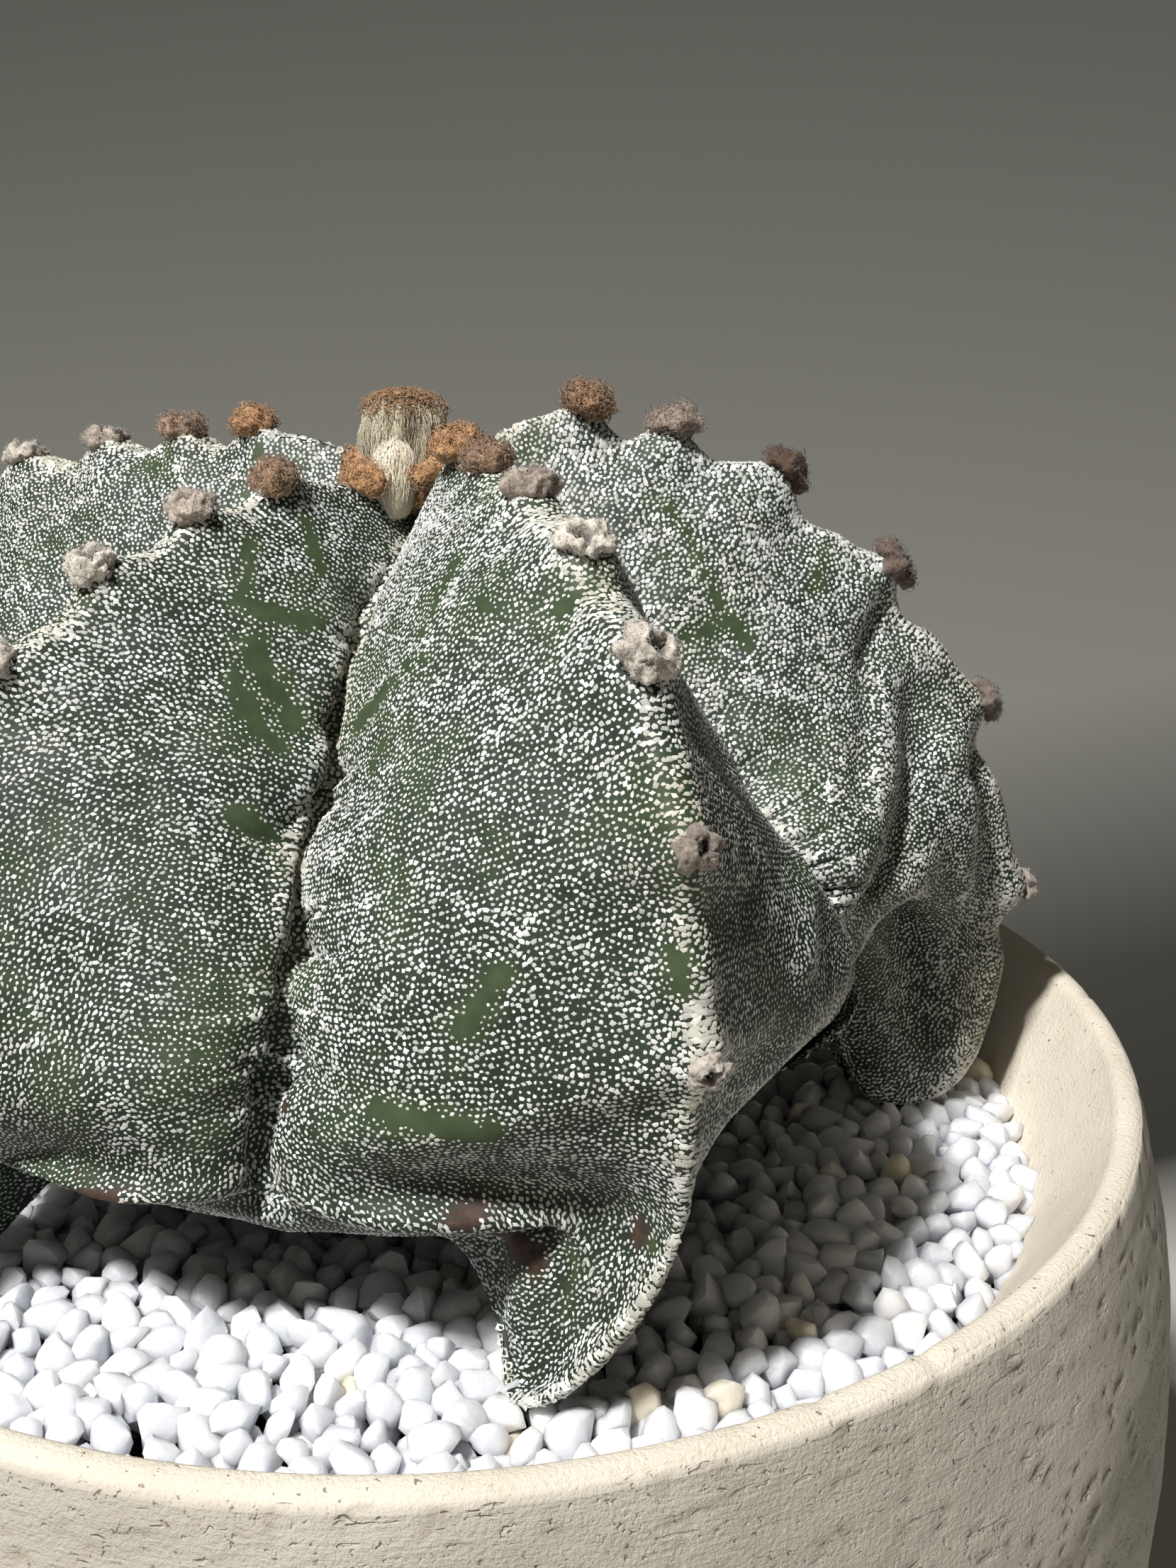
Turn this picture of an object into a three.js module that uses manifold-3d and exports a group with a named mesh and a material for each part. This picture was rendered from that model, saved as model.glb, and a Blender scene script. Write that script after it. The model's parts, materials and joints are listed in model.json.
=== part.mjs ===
// A potted bishop's cap cactus: a five-ribbed stem with two woolly buds in its crown,
// standing on the feet of its ribs on white quartz chips, in a thick stoneware pot.
// Millimetres, +Z up, origin at the centre of the pot's foot. Azimuths are in degrees from
// the front (-Y) towards the right (+X). Heights of the plant are given above the pot's rim.
import * as THREE from 'three';
import { mergeVertices } from 'three/addons/utils/BufferGeometryUtils.js';
import Module from 'manifold-3d';

// ---------------------------------------------------------------- driving dimensions
const SEED = 20.25;               // start of the repeatable random draw
const CLEARANCE = 0.4;            // gap between pieces that rest against each other

// pot
const POT_HEIGHT = 105;
const RIM_RADIUS = 75;            // outer edge of the lip
const BELLY_RADIUS = 80.3;
const BELLY_DROP = 38;            // belly below the rim
const FOOT_RADIUS = 52;
const FOOT_RING_WIDTH = 8;
const FOOT_RECESS = 2;
const LIP_WIDTH = 2.9;
const LIP_ROUNDING = 0.8;
const BEVEL_DEPTH = 13;           // the inner rim slopes in over this height
const BEVEL_FOOT_RADIUS = 64.5;
const THROAT_RADIUS = 63.8;       // narrowest place, just below that slope
const THROAT_DROP = 15;
const INNER_BELLY_RADIUS = 67.5;
const INNER_FLOOR_RADIUS = 41;
const FLOOR_THICKNESS = 11;
const DRAIN_RADIUS = 7;
const OUTER_STEPS = 11;
const INNER_STEPS = 6;
const TURNED_SEGMENTS = 48;

// drainage mesh
const MESH_RADIUS = 15;
const MESH_THICKNESS = 1.6;
const MESH_HOLE = 3;
const MESH_PITCH = 4.6;
const MESH_ROWS = 1;              // rows of holes on each side of the middle one

// potting mix and chips
const SOIL_DROP = 17;             // soil surface below the rim
const SOIL_SEGMENTS = 24;
const CHIP_PITCH = 6.3;
const CHIP_JITTER = 0.2;          // of the pitch
const CHIP_TOP_REACH = [0.5, 0.72]; // of the way out to the skirt's corners
const CHIP_RISE = [0.4, 1.1];     // of a chip's top above the mean level
const CHIP_TILT = 0.35;
const CHIP_DENT = [1, 1.6];       // of the dents between chips below it
const CHIP_LEVEL = -9.7;          // highest mean level, above the rim
const CHIP_CREST_RADIUS = 45;     // where it is reached
const CHIP_FALL = 1.9;            // fall from there over CHIP_FALL_RUN
const CHIP_FALL_RUN = 20;
const CHIP_HOLE_RADIUS = 20.4;
const CHIP_HEADROOM = 8;          // height above the throat that no chip reaches

// stem: one profile is a list of [radius, height above the rim], from the apex along the
// outside, round the foot, along the underside and down the root
const SHOULDERED_RIDGE = [
  [0, 55], [5, 60.5], [12, 64.2], [22, 64], [34, 61.7], [45.5, 57.6], [55, 52], [61, 43],
  [64, 32], [64.5, 21], [62.3, 10], [59.8, 0], [57, -7.6], [52.5, -9.2], [46.5, -5],
  [37, -3.2], [27, -5.2], [19.7, -10.5], [17.5, -16], [13, -30], [6.5, -46], [0, -54],
];
const ROUND_RIDGE = [
  [0, 55], [5, 60.5], [11.5, 64.4], [20, 64.2], [31, 60.8], [41.5, 54.3], [50, 46.5],
  [56.5, 38.5], [61, 28.5], [64, 17], [63.8, 6], [61.3, -3], [58, -8], [53, -9.2],
  [46.5, -5], [37, -3.2], [27, -5.2], [19.7, -10.5], [17.5, -16], [13, -30], [6.5, -46],
  [0, -54],
];
const GROOVE = [
  [0, 55], [2.6, 54.8], [6, 53.8], [12, 51.4], [19, 46.4], [25.8, 38.3], [32, 31.6],
  [37.8, 26.4], [42.3, 21.6], [44.8, 16], [46.4, 10.6], [47.6, 6.8], [47.8, 4.2],
  [45.5, 1.6], [41, -0.2], [33.5, -1.8], [25.5, -4.8], [19.6, -10.3], [17.5, -16],
  [13, -30], [6.5, -46], [0, -54],
];
const FOOT_STATION = 12.5;        // place of the foot and of the neck in these lists
const NECK_STATION = 18;
const SOLE_HEIGHT = -9.2;
const SOLE_RADIUS = 54.5;         // from the pot's axis to the middle of a sole
const SOLE_CLEAR_RADIUS = 11;     // chips within this of it stay lower than the sole
const TWIST_STATIONS = [9, 13];   // where a foot turns sideways out of its ridge's plane
const GROOVE_OPENING = 24;        // degrees between a flank and the groove's own direction
const RIDGE_HALF_ANGLE = 47;      // degrees between a flank and the ridge's own plane
const GROOVE_HANDLE = 0.34;       // of the flank's chord
const RIDGE_HANDLE = 0.36;
const CREST_RADIUS = 2.2;         // ridges are blunt
const LEAST_CREST = 0.4;          // below this a ridge is left sharp
const CREST_SHARE = 0.9;          // of a flank, where its crest begins
const FIN_RUN = 2;                // stations over which a rib narrows to the fin of its foot
const TUCK_DELAY = 1.5;           // stations from there until the belly tucks in beside it
const TUCK_RUN = 1.7;
const TUCK_SHARES = [0.66, 0.94]; // the tucked flank drops to the foot between these
const TUCK_OPENING = 100;         // groove opening and handles at the foot
const TUCK_HANDLE = 1;
const FIN_HANDLE = 0.38;
const FULL_LOBE = 12;             // ridge standing this far out of the groove is fully lobed
const FLANK_STEPS = [0, 0.14, 0.37, 0.63, 0.9, 1];
const CROWN_FOLD = 1.2;           // how late a flank rises from the groove to the ridge

// ribs, each with the groove after it: azimuth, degrees that the foot turns, fullness of the
// shoulder, lift, how sharply the left and the right flank fall to the foot, stations where
// they begin to narrow, degrees that both sides of the foot spread from the ridge's plane,
// extra height of the arch in the groove, and the areoles on the ridge: distance of the first
// from the apex, step and growth of the step
const RIBS = [
  {
    azimuth: 17.6, twist: -11.5, shoulder: 1.0, lift: -0.7, falls: [6, 2.2],
    fins: [8.8, 8.8], spreads: [-20, 13], arch: 11, first: 15, step: 7.65, growth: 0.8,
  },
  {
    azimuth: 90, twist: -4, shoulder: 0.05, lift: 0.4, falls: [5, 4.5],
    fins: [7.2, 8.8], spreads: [3, 3], arch: 3, first: 20.5, step: 7.2, growth: 1.6,
  },
  {
    azimuth: 163, twist: -9, shoulder: 0.1, lift: -5, falls: [4, 5],
    fins: [8.8, 8.8], spreads: [3, 3], arch: 2, first: 18, step: 8, growth: 1.1,
  },
  {
    azimuth: 238, twist: -9, shoulder: 1.8, lift: -1.2, falls: [4.5, 5],
    fins: [8.8, 8.8], spreads: [3, 3], arch: 1, first: 23, step: 8.6, growth: 0.75,
  },
  {
    azimuth: 308, twist: -9, shoulder: 0.1, lift: -4.2, falls: [5, 6],
    fins: [8.8, 8.8], spreads: [3, 3], arch: 0, first: 19, step: 8.4, growth: 0.7,
  },
];
const ARCH_STATION = 12;          // place of the arch in the groove's list
const ARCH_FADE_HEIGHT = 30;      // a groove keeps its own height from here up
const AREOLE_WIDTH = 5.4;         // young areole, across the ridge
const AREOLE_LENGTH = 4.6;        // along the ridge
const AREOLE_SHRINK = 0.3;        // of that lost by the oldest
const AREOLE_WANDER = 0.3;        // sideways from the ridge's own line
const AREOLE_DEPTH = 4.4;         // through the pad, of which AREOLE_RISE stands proud
const AREOLE_RISE = 2;
const SCALLOP = 0.9;              // bump of the ridge above an areole, notch below it
const SCALLOP_LENGTH = 3;
const NOTCH_OFFSET = 1.5;         // of that length, from the bump to the notch
const CROWN_TUFT_DISTANCE = 8.5;  // youngest wool, from the apex along each ridge
const BARE_FOOT = 18;             // end of the ridge without areoles

// flower buds: place of the axis, [radius, height] profile above the rim, flutes, cap
const LARGE_BUD = {
  x: -1.5, y: 3.2, flutes: 12, rows: 9, flute_depth: 0.09,
  profile: [[0, 56], [2.2, 56.8], [3.7, 59.4], [4.25, 62.2], [4.1, 65], [3.2, 67.5], [0, 68.6]],
};
const SMALL_BUD = {
  x: -2.4, y: -3.4, flutes: 8, rows: 7, flute_depth: 0.1,
  profile: [[0, 56], [1.3, 56.8], [1.9, 59], [2.0, 61], [1.5, 62.8], [0, 63.8]],
};

// colours
const STONEWARE = 0xc9c0ab;
const QUARTZ = 0xe9ecec;
const EARTH = 0x3a2c20;
const PLASTIC_MESH = 0x1c1f1e;
const STEM_GREEN = 0x8f9a86;
const BUD_CREAM = 0xc9b892;

// ---------------------------------------------------------------- small helpers
const wasm = await Module();
wasm.setup();

let draw = SEED;
function random() {
  draw = (draw * 16807 + 11) % 2147483647;
  return draw / 2147483647;
}

function spread(low, high) {
  return low + (high - low) * random();
}

function mix(a, b, t) {
  return a + (b - a) * t;
}

function smooth(low, high, value) {
  return THREE.MathUtils.smoothstep(value, low, high);
}

// horizontal unit vector of an azimuth
function heading(degrees) {
  const angle = THREE.MathUtils.degToRad(degrees);
  return new THREE.Vector2(Math.sin(angle), -Math.cos(angle));
}

function turned(vector, degrees) {
  return vector.clone().rotateAround(new THREE.Vector2(), THREE.MathUtils.degToRad(degrees));
}

function spline(points) {
  return new THREE.SplineCurve(points.map(([x, y]) => new THREE.Vector2(x, y)));
}

function geometryOf(positions, indices) {
  const geometry = new THREE.BufferGeometry();
  geometry.setAttribute('position', new THREE.Float32BufferAttribute(positions, 3));
  geometry.setIndex(indices);
  return geometry;
}

// a turned body about the Z axis from a [radius, height] outline
function turnedBody(outline, segments = TURNED_SEGMENTS) {
  const points = outline.map(([r, z]) => new THREE.Vector2(r, z));
  const geometry = new THREE.LatheGeometry(points, segments);
  geometry.rotateX(Math.PI / 2);
  return geometry;
}

function solidOf(geometry) {
  const bare = geometry.clone();
  bare.deleteAttribute('normal');
  bare.deleteAttribute('uv');
  const merged = mergeVertices(bare, 1e-4);
  const triangles = [];
  for (let i = 0; i < merged.index.count; i += 3) {
    const corner = [merged.index.getX(i), merged.index.getX(i + 1), merged.index.getX(i + 2)];
    if (corner[0] !== corner[1] && corner[1] !== corner[2] && corner[2] !== corner[0]) {
      triangles.push(...corner);
    }
  }
  const solid = new wasm.Manifold(new wasm.Mesh({
    numProp: 3,
    vertProperties: new Float32Array(merged.attributes.position.array),
    triVerts: new Uint32Array(triangles),
  }));
  return solid;
}

function geometryOfSolid(solid) {
  const mesh = solid.getMesh();
  return geometryOf(Array.from(mesh.vertProperties), Array.from(mesh.triVerts));
}

function namedMesh(name, geometry, colour, roughness) {
  geometry.computeVertexNormals();
  const material = new THREE.MeshStandardMaterial({ color: colour, roughness, metalness: 0 });
  const mesh = new THREE.Mesh(geometry, material);
  mesh.name = name;
  return mesh;
}

// ---------------------------------------------------------------- pot
function potOuterLine() {
  const belly = POT_HEIGHT - BELLY_DROP;
  const curve = spline([
    [FOOT_RADIUS + 1.2, 1.2], [63, 12], [74.2, 32], [79.4, 52], [BELLY_RADIUS, belly],
    [79.9, 81], [78.2, 92], [RIM_RADIUS + 0.8, 102],
  ]);
  return curve.getPoints(OUTER_STEPS).map((p) => [p.x, p.y]);
}

// the cavity's wall from the lip's inner edge down to the floor
function potInnerLine() {
  const curve = spline([
    [THROAT_RADIUS, POT_HEIGHT - THROAT_DROP], [66.4, 80], [INNER_BELLY_RADIUS, 66],
    [65.6, 48], [58.6, 28], [INNER_FLOOR_RADIUS + 8, FLOOR_THICKNESS + 4],
    [INNER_FLOOR_RADIUS, FLOOR_THICKNESS],
  ]);
  return curve.getPoints(INNER_STEPS).map((p) => [p.x, p.y]);
}

function pot() {
  const lipInner = RIM_RADIUS - LIP_WIDTH;
  const ringInner = FOOT_RADIUS - FOOT_RING_WIDTH;
  const outline = [
    [FOOT_RADIUS, 0],
    ...potOuterLine(),
    [RIM_RADIUS, POT_HEIGHT - LIP_ROUNDING],
    [RIM_RADIUS - LIP_ROUNDING, POT_HEIGHT],
    [lipInner + LIP_ROUNDING, POT_HEIGHT],
    [lipInner, POT_HEIGHT - LIP_ROUNDING],
    [BEVEL_FOOT_RADIUS, POT_HEIGHT - BEVEL_DEPTH],
    ...potInnerLine(),
    [DRAIN_RADIUS, FLOOR_THICKNESS],
    [DRAIN_RADIUS, FOOT_RECESS],
    [ringInner - FOOT_RECESS, FOOT_RECESS],
    [ringInner, 0],
    [FOOT_RADIUS, 0],
  ];
  return turnedBody(outline);
}

// ---------------------------------------------------------------- drainage mesh
function drainageMesh() {
  const disc = new THREE.CylinderGeometry(MESH_RADIUS, MESH_RADIUS, MESH_THICKNESS, 32);
  disc.rotateX(Math.PI / 2);
  disc.translate(0, 0, FLOOR_THICKNESS + MESH_THICKNESS / 2);
  let solid = solidOf(disc);
  for (let column = -MESH_ROWS; column <= MESH_ROWS; column += 1) {
    for (let row = -MESH_ROWS; row <= MESH_ROWS; row += 1) {
      const hole = new THREE.BoxGeometry(MESH_HOLE, MESH_HOLE, 3 * MESH_THICKNESS);
      const middle = FLOOR_THICKNESS + MESH_THICKNESS / 2;
      hole.translate(column * MESH_PITCH, row * MESH_PITCH, middle);
      solid = solid.subtract(solidOf(hole));
    }
  }
  return geometryOfSolid(solid);
}

// ---------------------------------------------------------------- potting mix
// the hole for neck and root, from the soil's surface down
function rootHoleLine(top) {
  const root = GROOVE.slice(NECK_STATION);
  const line = root.map(([r, z]) => [r + CLEARANCE, POT_HEIGHT + z]);
  line[0] = [line[0][0], top];
  const [, tipHeight] = line[line.length - 1];
  line.push([0, tipHeight - CLEARANCE]);
  return line;
}

// radius of a falling outline at a height
function radiusAt(line, height) {
  const next = line.findIndex(([, z]) => z < height);
  const [upperRadius, upper] = line[next - 1];
  const [lowerRadius, lower] = line[next];
  return mix(upperRadius, lowerRadius, (upper - height) / (upper - lower));
}

function pottingMix() {
  const top = POT_HEIGHT - SOIL_DROP;
  const wall = potInnerLine().map(([r, z]) => [r - CLEARANCE, z]);
  const bottom = FLOOR_THICKNESS + MESH_THICKNESS + CLEARANCE;
  const outline = [
    ...rootHoleLine(top).reverse(),
    [radiusAt(wall, top), top],
    ...wall.filter(([, z]) => z < top && z > FLOOR_THICKNESS),
    [INNER_FLOOR_RADIUS - CLEARANCE, FLOOR_THICKNESS],
    [MESH_RADIUS + CLEARANCE, FLOOR_THICKNESS],
    [MESH_RADIUS + CLEARANCE, bottom],
    [0, bottom],
  ];
  return turnedBody(outline.reverse(), SOIL_SEGMENTS);
}

// ---------------------------------------------------------------- chips
function chipLevel(x, y) {
  const off = (Math.hypot(x, y) - CHIP_CREST_RADIUS) / CHIP_FALL_RUN;
  return POT_HEIGHT + CHIP_LEVEL - CHIP_FALL * off * off;
}

function footPlaces() {
  return RIBS.map((rib) => heading(rib.azimuth + rib.twist).multiplyScalar(SOLE_RADIUS));
}

// lowers what would stand up into a foot
function underFeet(x, y, z, feet) {
  const near = feet.some((foot) => Math.hypot(foot.x - x, foot.y - y) < SOLE_CLEAR_RADIUS);
  const limit = POT_HEIGHT + SOLE_HEIGHT - CLEARANCE;
  return near ? Math.min(z, limit) : z;
}

// a sheet of angular chips on a jittered triangular lattice: each chip is a tilted
// three-cornered top on a six-sided skirt, and neighbours share the low corners
function chipSheet() {
  const reach = RIM_RADIUS + CHIP_PITCH;
  const count = Math.ceil(reach / CHIP_PITCH) + 1;
  const rowPitch = CHIP_PITCH * Math.sqrt(3) / 2;
  const feet = footPlaces();
  const centres = new Map();
  for (let row = -count - 3; row <= count + 3; row += 1) {
    for (let col = -count; col <= count; col += 1) {
      const x = (col + (Math.abs(row) % 2) / 2) * CHIP_PITCH;
      const y = row * rowPitch;
      const shift = CHIP_JITTER * CHIP_PITCH;
      centres.set(`${row},${col}`, [x + spread(-shift, shift), y + spread(-shift, shift), x, y]);
    }
  }
  const positions = [];
  const indices = [];
  const lowCorners = new Map();
  function addPoint(x, y, z) {
    positions.push(x, y, underFeet(x, y, z, feet));
    return positions.length / 3 - 1;
  }
  function lowCorner(a, b, c) {
    const key = [a, b, c].sort().join('|');
    if (!lowCorners.has(key)) {
      const three = [a, b, c].map((name) => centres.get(name));
      const x = (three[0][0] + three[1][0] + three[2][0]) / 3;
      const y = (three[0][1] + three[1][1] + three[2][1]) / 3;
      lowCorners.set(key, addPoint(x, y, chipLevel(x, y) - spread(...CHIP_DENT)));
    }
    return lowCorners.get(key);
  }
  for (let row = -count - 2; row <= count + 2; row += 1) {
    for (let col = -count + 1; col < count; col += 1) {
      const [x, y, latticeX, latticeY] = centres.get(`${row},${col}`);
      if (Math.hypot(latticeX, latticeY) > reach) {
        continue;
      }
      const shift = Math.abs(row) % 2;
      const around = [
        `${row},${col + 1}`, `${row + 1},${col + shift}`, `${row + 1},${col - 1 + shift}`,
        `${row},${col - 1}`, `${row - 1},${col - 1 + shift}`, `${row - 1},${col + shift}`,
      ];
      const own = `${row},${col}`;
      const low = around.map((name, k) => lowCorner(own, name, around[(k + 1) % 6]));
      const start = random() < 0.5 ? 0 : 1;
      const rise = spread(...CHIP_RISE);
      const top = [0, 1, 2].map((k) => {
        const corner = low[(2 * k + 1 + start) % 6] * 3;
        const pull = spread(...CHIP_TOP_REACH);
        const px = mix(x, positions[corner], pull);
        const py = mix(y, positions[corner + 1], pull);
        return addPoint(px, py, chipLevel(px, py) + rise + spread(-CHIP_TILT, CHIP_TILT));
      });
      for (let k = 0; k < 3; k += 1) {
        const first = low[(2 * k + start) % 6];
        const middle = low[(2 * k + 1 + start) % 6];
        const last = low[(2 * k + 2 + start) % 6];
        indices.push(first, middle, top[k]);
        indices.push(middle, last, top[k]);
        indices.push(last, top[(k + 1) % 3], top[k]);
      }
      indices.push(top[0], top[1], top[2]);
    }
  }
  return { positions, indices };
}

// closes a sheet into a block: walls below its open edge and a flat bottom
function blockUnder(sheet, bottom) {
  const { positions, indices } = sheet;
  const used = new Map();
  for (let i = 0; i < indices.length; i += 3) {
    for (let k = 0; k < 3; k += 1) {
      used.set(`${indices[i + k]},${indices[i + (k + 1) % 3]}`, true);
    }
  }
  const below = new Map();
  function under(index) {
    if (!below.has(index)) {
      positions.push(positions[3 * index], positions[3 * index + 1], bottom);
      below.set(index, positions.length / 3 - 1);
    }
    return below.get(index);
  }
  positions.push(0, 0, bottom);
  const centre = positions.length / 3 - 1;
  for (const key of used.keys()) {
    const [a, b] = key.split(',').map(Number);
    if (!used.has(`${b},${a}`)) {
      indices.push(b, a, under(a));
      indices.push(b, under(a), under(b));
      indices.push(under(b), under(a), centre);
    }
  }
  return geometryOf(positions, indices);
}

// room that the chips may fill: inside the pot's slope and outside the neck
function chipRoom() {
  const bottom = POT_HEIGHT - SOIL_DROP;
  const throat = POT_HEIGHT - BEVEL_DEPTH;
  const run = RIM_RADIUS - LIP_WIDTH - BEVEL_FOOT_RADIUS;
  const slope = run / (BEVEL_DEPTH - LIP_ROUNDING);
  const wall = potInnerLine().map(([r, z]) => [r - CLEARANCE, z]);
  return turnedBody([
    [CHIP_HOLE_RADIUS, bottom],
    [wall[0][0], bottom],
    wall[0],
    [BEVEL_FOOT_RADIUS - CLEARANCE, throat],
    [BEVEL_FOOT_RADIUS - CLEARANCE + slope * CHIP_HEADROOM, throat + CHIP_HEADROOM],
    [CHIP_HOLE_RADIUS, throat + CHIP_HEADROOM],
    [CHIP_HOLE_RADIUS, bottom],
  ]);
}

function gravelDressing() {
  const block = blockUnder(chipSheet(), POT_HEIGHT - SOIL_DROP - 5);
  return geometryOfSolid(solidOf(block).intersect(solidOf(chipRoom())));
}

// ---------------------------------------------------------------- stem
const lastStation = GROOVE.length - 1;
const shoulderedRidge = spline(SHOULDERED_RIDGE);
const roundRidge = spline(ROUND_RIDGE);
const grooveCurve = spline(GROOVE);

// stations down the stem: close together on the outside, wide apart on the root
function stations() {
  const list = [];
  for (let u = 0.5; u < 13.5; u += 0.42) {
    list.push(u);
  }
  for (let u = 14; u <= NECK_STATION; u += 1) {
    list.push(u);
  }
  for (let u = NECK_STATION + 1; u < lastStation; u += 1) {
    list.push(u);
  }
  return list;
}

function ridgeAt(rib, station) {
  const t = station / lastStation;
  const point = roundRidge.getPoint(t).lerp(shoulderedRidge.getPoint(t), rib.shoulder);
  const lifted = 1 - smooth(6, 11, station);
  point.y += rib.lift * lifted * smooth(0.5, 2, station);
  return point;
}

// outward normal of the ridge's line, in its own plane
function ridgeNormal(rib, station) {
  const ahead = ridgeAt(rib, Math.min(station + 0.1, lastStation));
  const behind = ridgeAt(rib, Math.max(station - 0.1, 0));
  const along = ahead.sub(behind).normalize();
  return new THREE.Vector2(-along.y, along.x);
}

// table of the distance along a ridge at fine stations
function ridgeTravel(rib) {
  const travel = [{ station: 0, distance: 0 }];
  let last = ridgeAt(rib, 0);
  for (let u = 0.05; u <= FOOT_STATION; u += 0.05) {
    const next = ridgeAt(rib, u);
    const distance = travel[travel.length - 1].distance + next.distanceTo(last);
    travel.push({ station: u, distance });
    last = next;
  }
  return travel;
}

function stationAtDistance(travel, distance) {
  return travel.find((entry) => entry.distance >= distance)?.station;
}

function distanceAtStation(travel, station) {
  const index = Math.min(Math.round(station / 0.05), travel.length - 1);
  return travel[index].distance;
}

function areoleDistances(rib, travel) {
  const end = travel[travel.length - 1].distance - BARE_FOOT;
  const list = [];
  for (let k = 0; k < 20; k += 1) {
    const distance = rib.first + rib.step * k + rib.growth * k * k;
    if (distance < end) {
      list.push(distance);
    }
  }
  return list;
}

// the ridge swells above each areole and is notched below it
function scallop(distance, areoles) {
  let rise = 0;
  for (const place of areoles) {
    const off = (distance - place) / SCALLOP_LENGTH;
    const beyond = off - NOTCH_OFFSET;
    rise += SCALLOP * (Math.exp(-off * off) - Math.exp(-beyond * beyond));
  }
  return rise;
}

function twistAt(rib, station) {
  return rib.twist * smooth(...TWIST_STATIONS, station);
}

// power that keeps a flank at the groove's height until near the ridge
function foldAt(station, fall) {
  const low = smooth(7, 11, station);
  const neck = smooth(14, NECK_STATION, station);
  return mix(mix(CROWN_FOLD, fall, low), 1, neck);
}

// the groove after a rib, halfway to the next one
function grooveAfter(index) {
  const rib = RIBS[index];
  const next = RIBS[(index + 1) % RIBS.length];
  const gap = (next.azimuth - rib.azimuth + 360) % 360;
  return { azimuth: rib.azimuth + gap / 2, arch: rib.arch };
}

function grooveAt(groove, station) {
  const point = grooveCurve.getPoint(station / lastStation);
  const [, archHeight] = GROOVE[ARCH_STATION];
  const above = (ARCH_FADE_HEIGHT - point.y) / (ARCH_FADE_HEIGHT - archHeight);
  const outside = THREE.MathUtils.clamp(above, 0, 1);
  const beneath = 1 - smooth(ARCH_STATION, ARCH_STATION + 4.5, station);
  point.y += groove.arch * (station < ARCH_STATION ? outside : beneath);
  return point;
}

// a point of a flank: share 0 is in the groove and 1 on the ridge; side is -1 or +1
function flankPoint(rib, between, side, station, share, rise) {
  const ridge = ridgeAt(rib, station);
  const groove = grooveAt(between, station);
  const fall = rib.falls[side < 0 ? 0 : 1];
  const finStart = rib.fins[side < 0 ? 0 : 1];
  const tuckStart = finStart + TUCK_DELAY;
  const aboveNeck = 1 - smooth(13, 15, station);
  const fin = smooth(finStart, finStart + FIN_RUN, station) * aboveNeck;
  const tuck = smooth(tuckStart, tuckStart + TUCK_RUN, station) * aboveNeck;
  const ridgeHeading = heading(rib.azimuth + twistAt(rib, station));
  const grooveHeading = heading(between.azimuth);
  const lobe = smooth(0, FULL_LOBE, ridge.x - groove.x);
  const opening = mix(mix(90, GROOVE_OPENING, lobe), TUCK_OPENING, tuck);
  const halfAngle = mix(mix(90, RIDGE_HALF_ANGLE, lobe), rib.spreads[side < 0 ? 0 : 1], fin);
  const blunt = CREST_RADIUS * smooth(0.5, 3.5, station) * lobe * (1 - 0.5 * fin);
  const crest = blunt < LEAST_CREST ? 0 : blunt;
  const middle = ridgeHeading.clone().multiplyScalar(ridge.x - crest);
  const crestPoint = (angle) => {
    return middle.clone().addScaledVector(turned(ridgeHeading, side * angle), crest);
  };
  const start = grooveHeading.clone().multiplyScalar(groove.x);
  const end = crestPoint(90 - halfAngle);
  const chord = start.distanceTo(end);
  const outOfGroove = turned(grooveHeading, -side * opening);
  const intoRidge = turned(ridgeHeading.clone().negate(), -side * halfAngle);
  const leaving = chord * mix(GROOVE_HANDLE, TUCK_HANDLE, tuck);
  const arriving = chord * mix(RIDGE_HANDLE, FIN_HANDLE, fin);
  const bend = new THREE.CubicBezierCurve(
    start,
    start.clone().addScaledVector(outOfGroove, leaving),
    end.clone().addScaledVector(intoRidge, arriving),
    end,
  );
  const run = Math.min(share / CREST_SHARE, 1);
  const plan = share > CREST_SHARE
    ? crestPoint((90 - halfAngle) * (1 - share) / (1 - CREST_SHARE))
    : bend.getPoint(run);
  const drop = mix(run ** foldAt(station, fall), smooth(...TUCK_SHARES, run), tuck);
  const height = mix(groove.y, ridge.y, drop);
  const normal = ridgeNormal(rib, station);
  const lift = rise * smooth(0.6, 1, run);
  plan.addScaledVector(ridgeHeading, normal.x * lift);
  return new THREE.Vector3(plan.x, plan.y, POT_HEIGHT + height + normal.y * lift);
}

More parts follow.
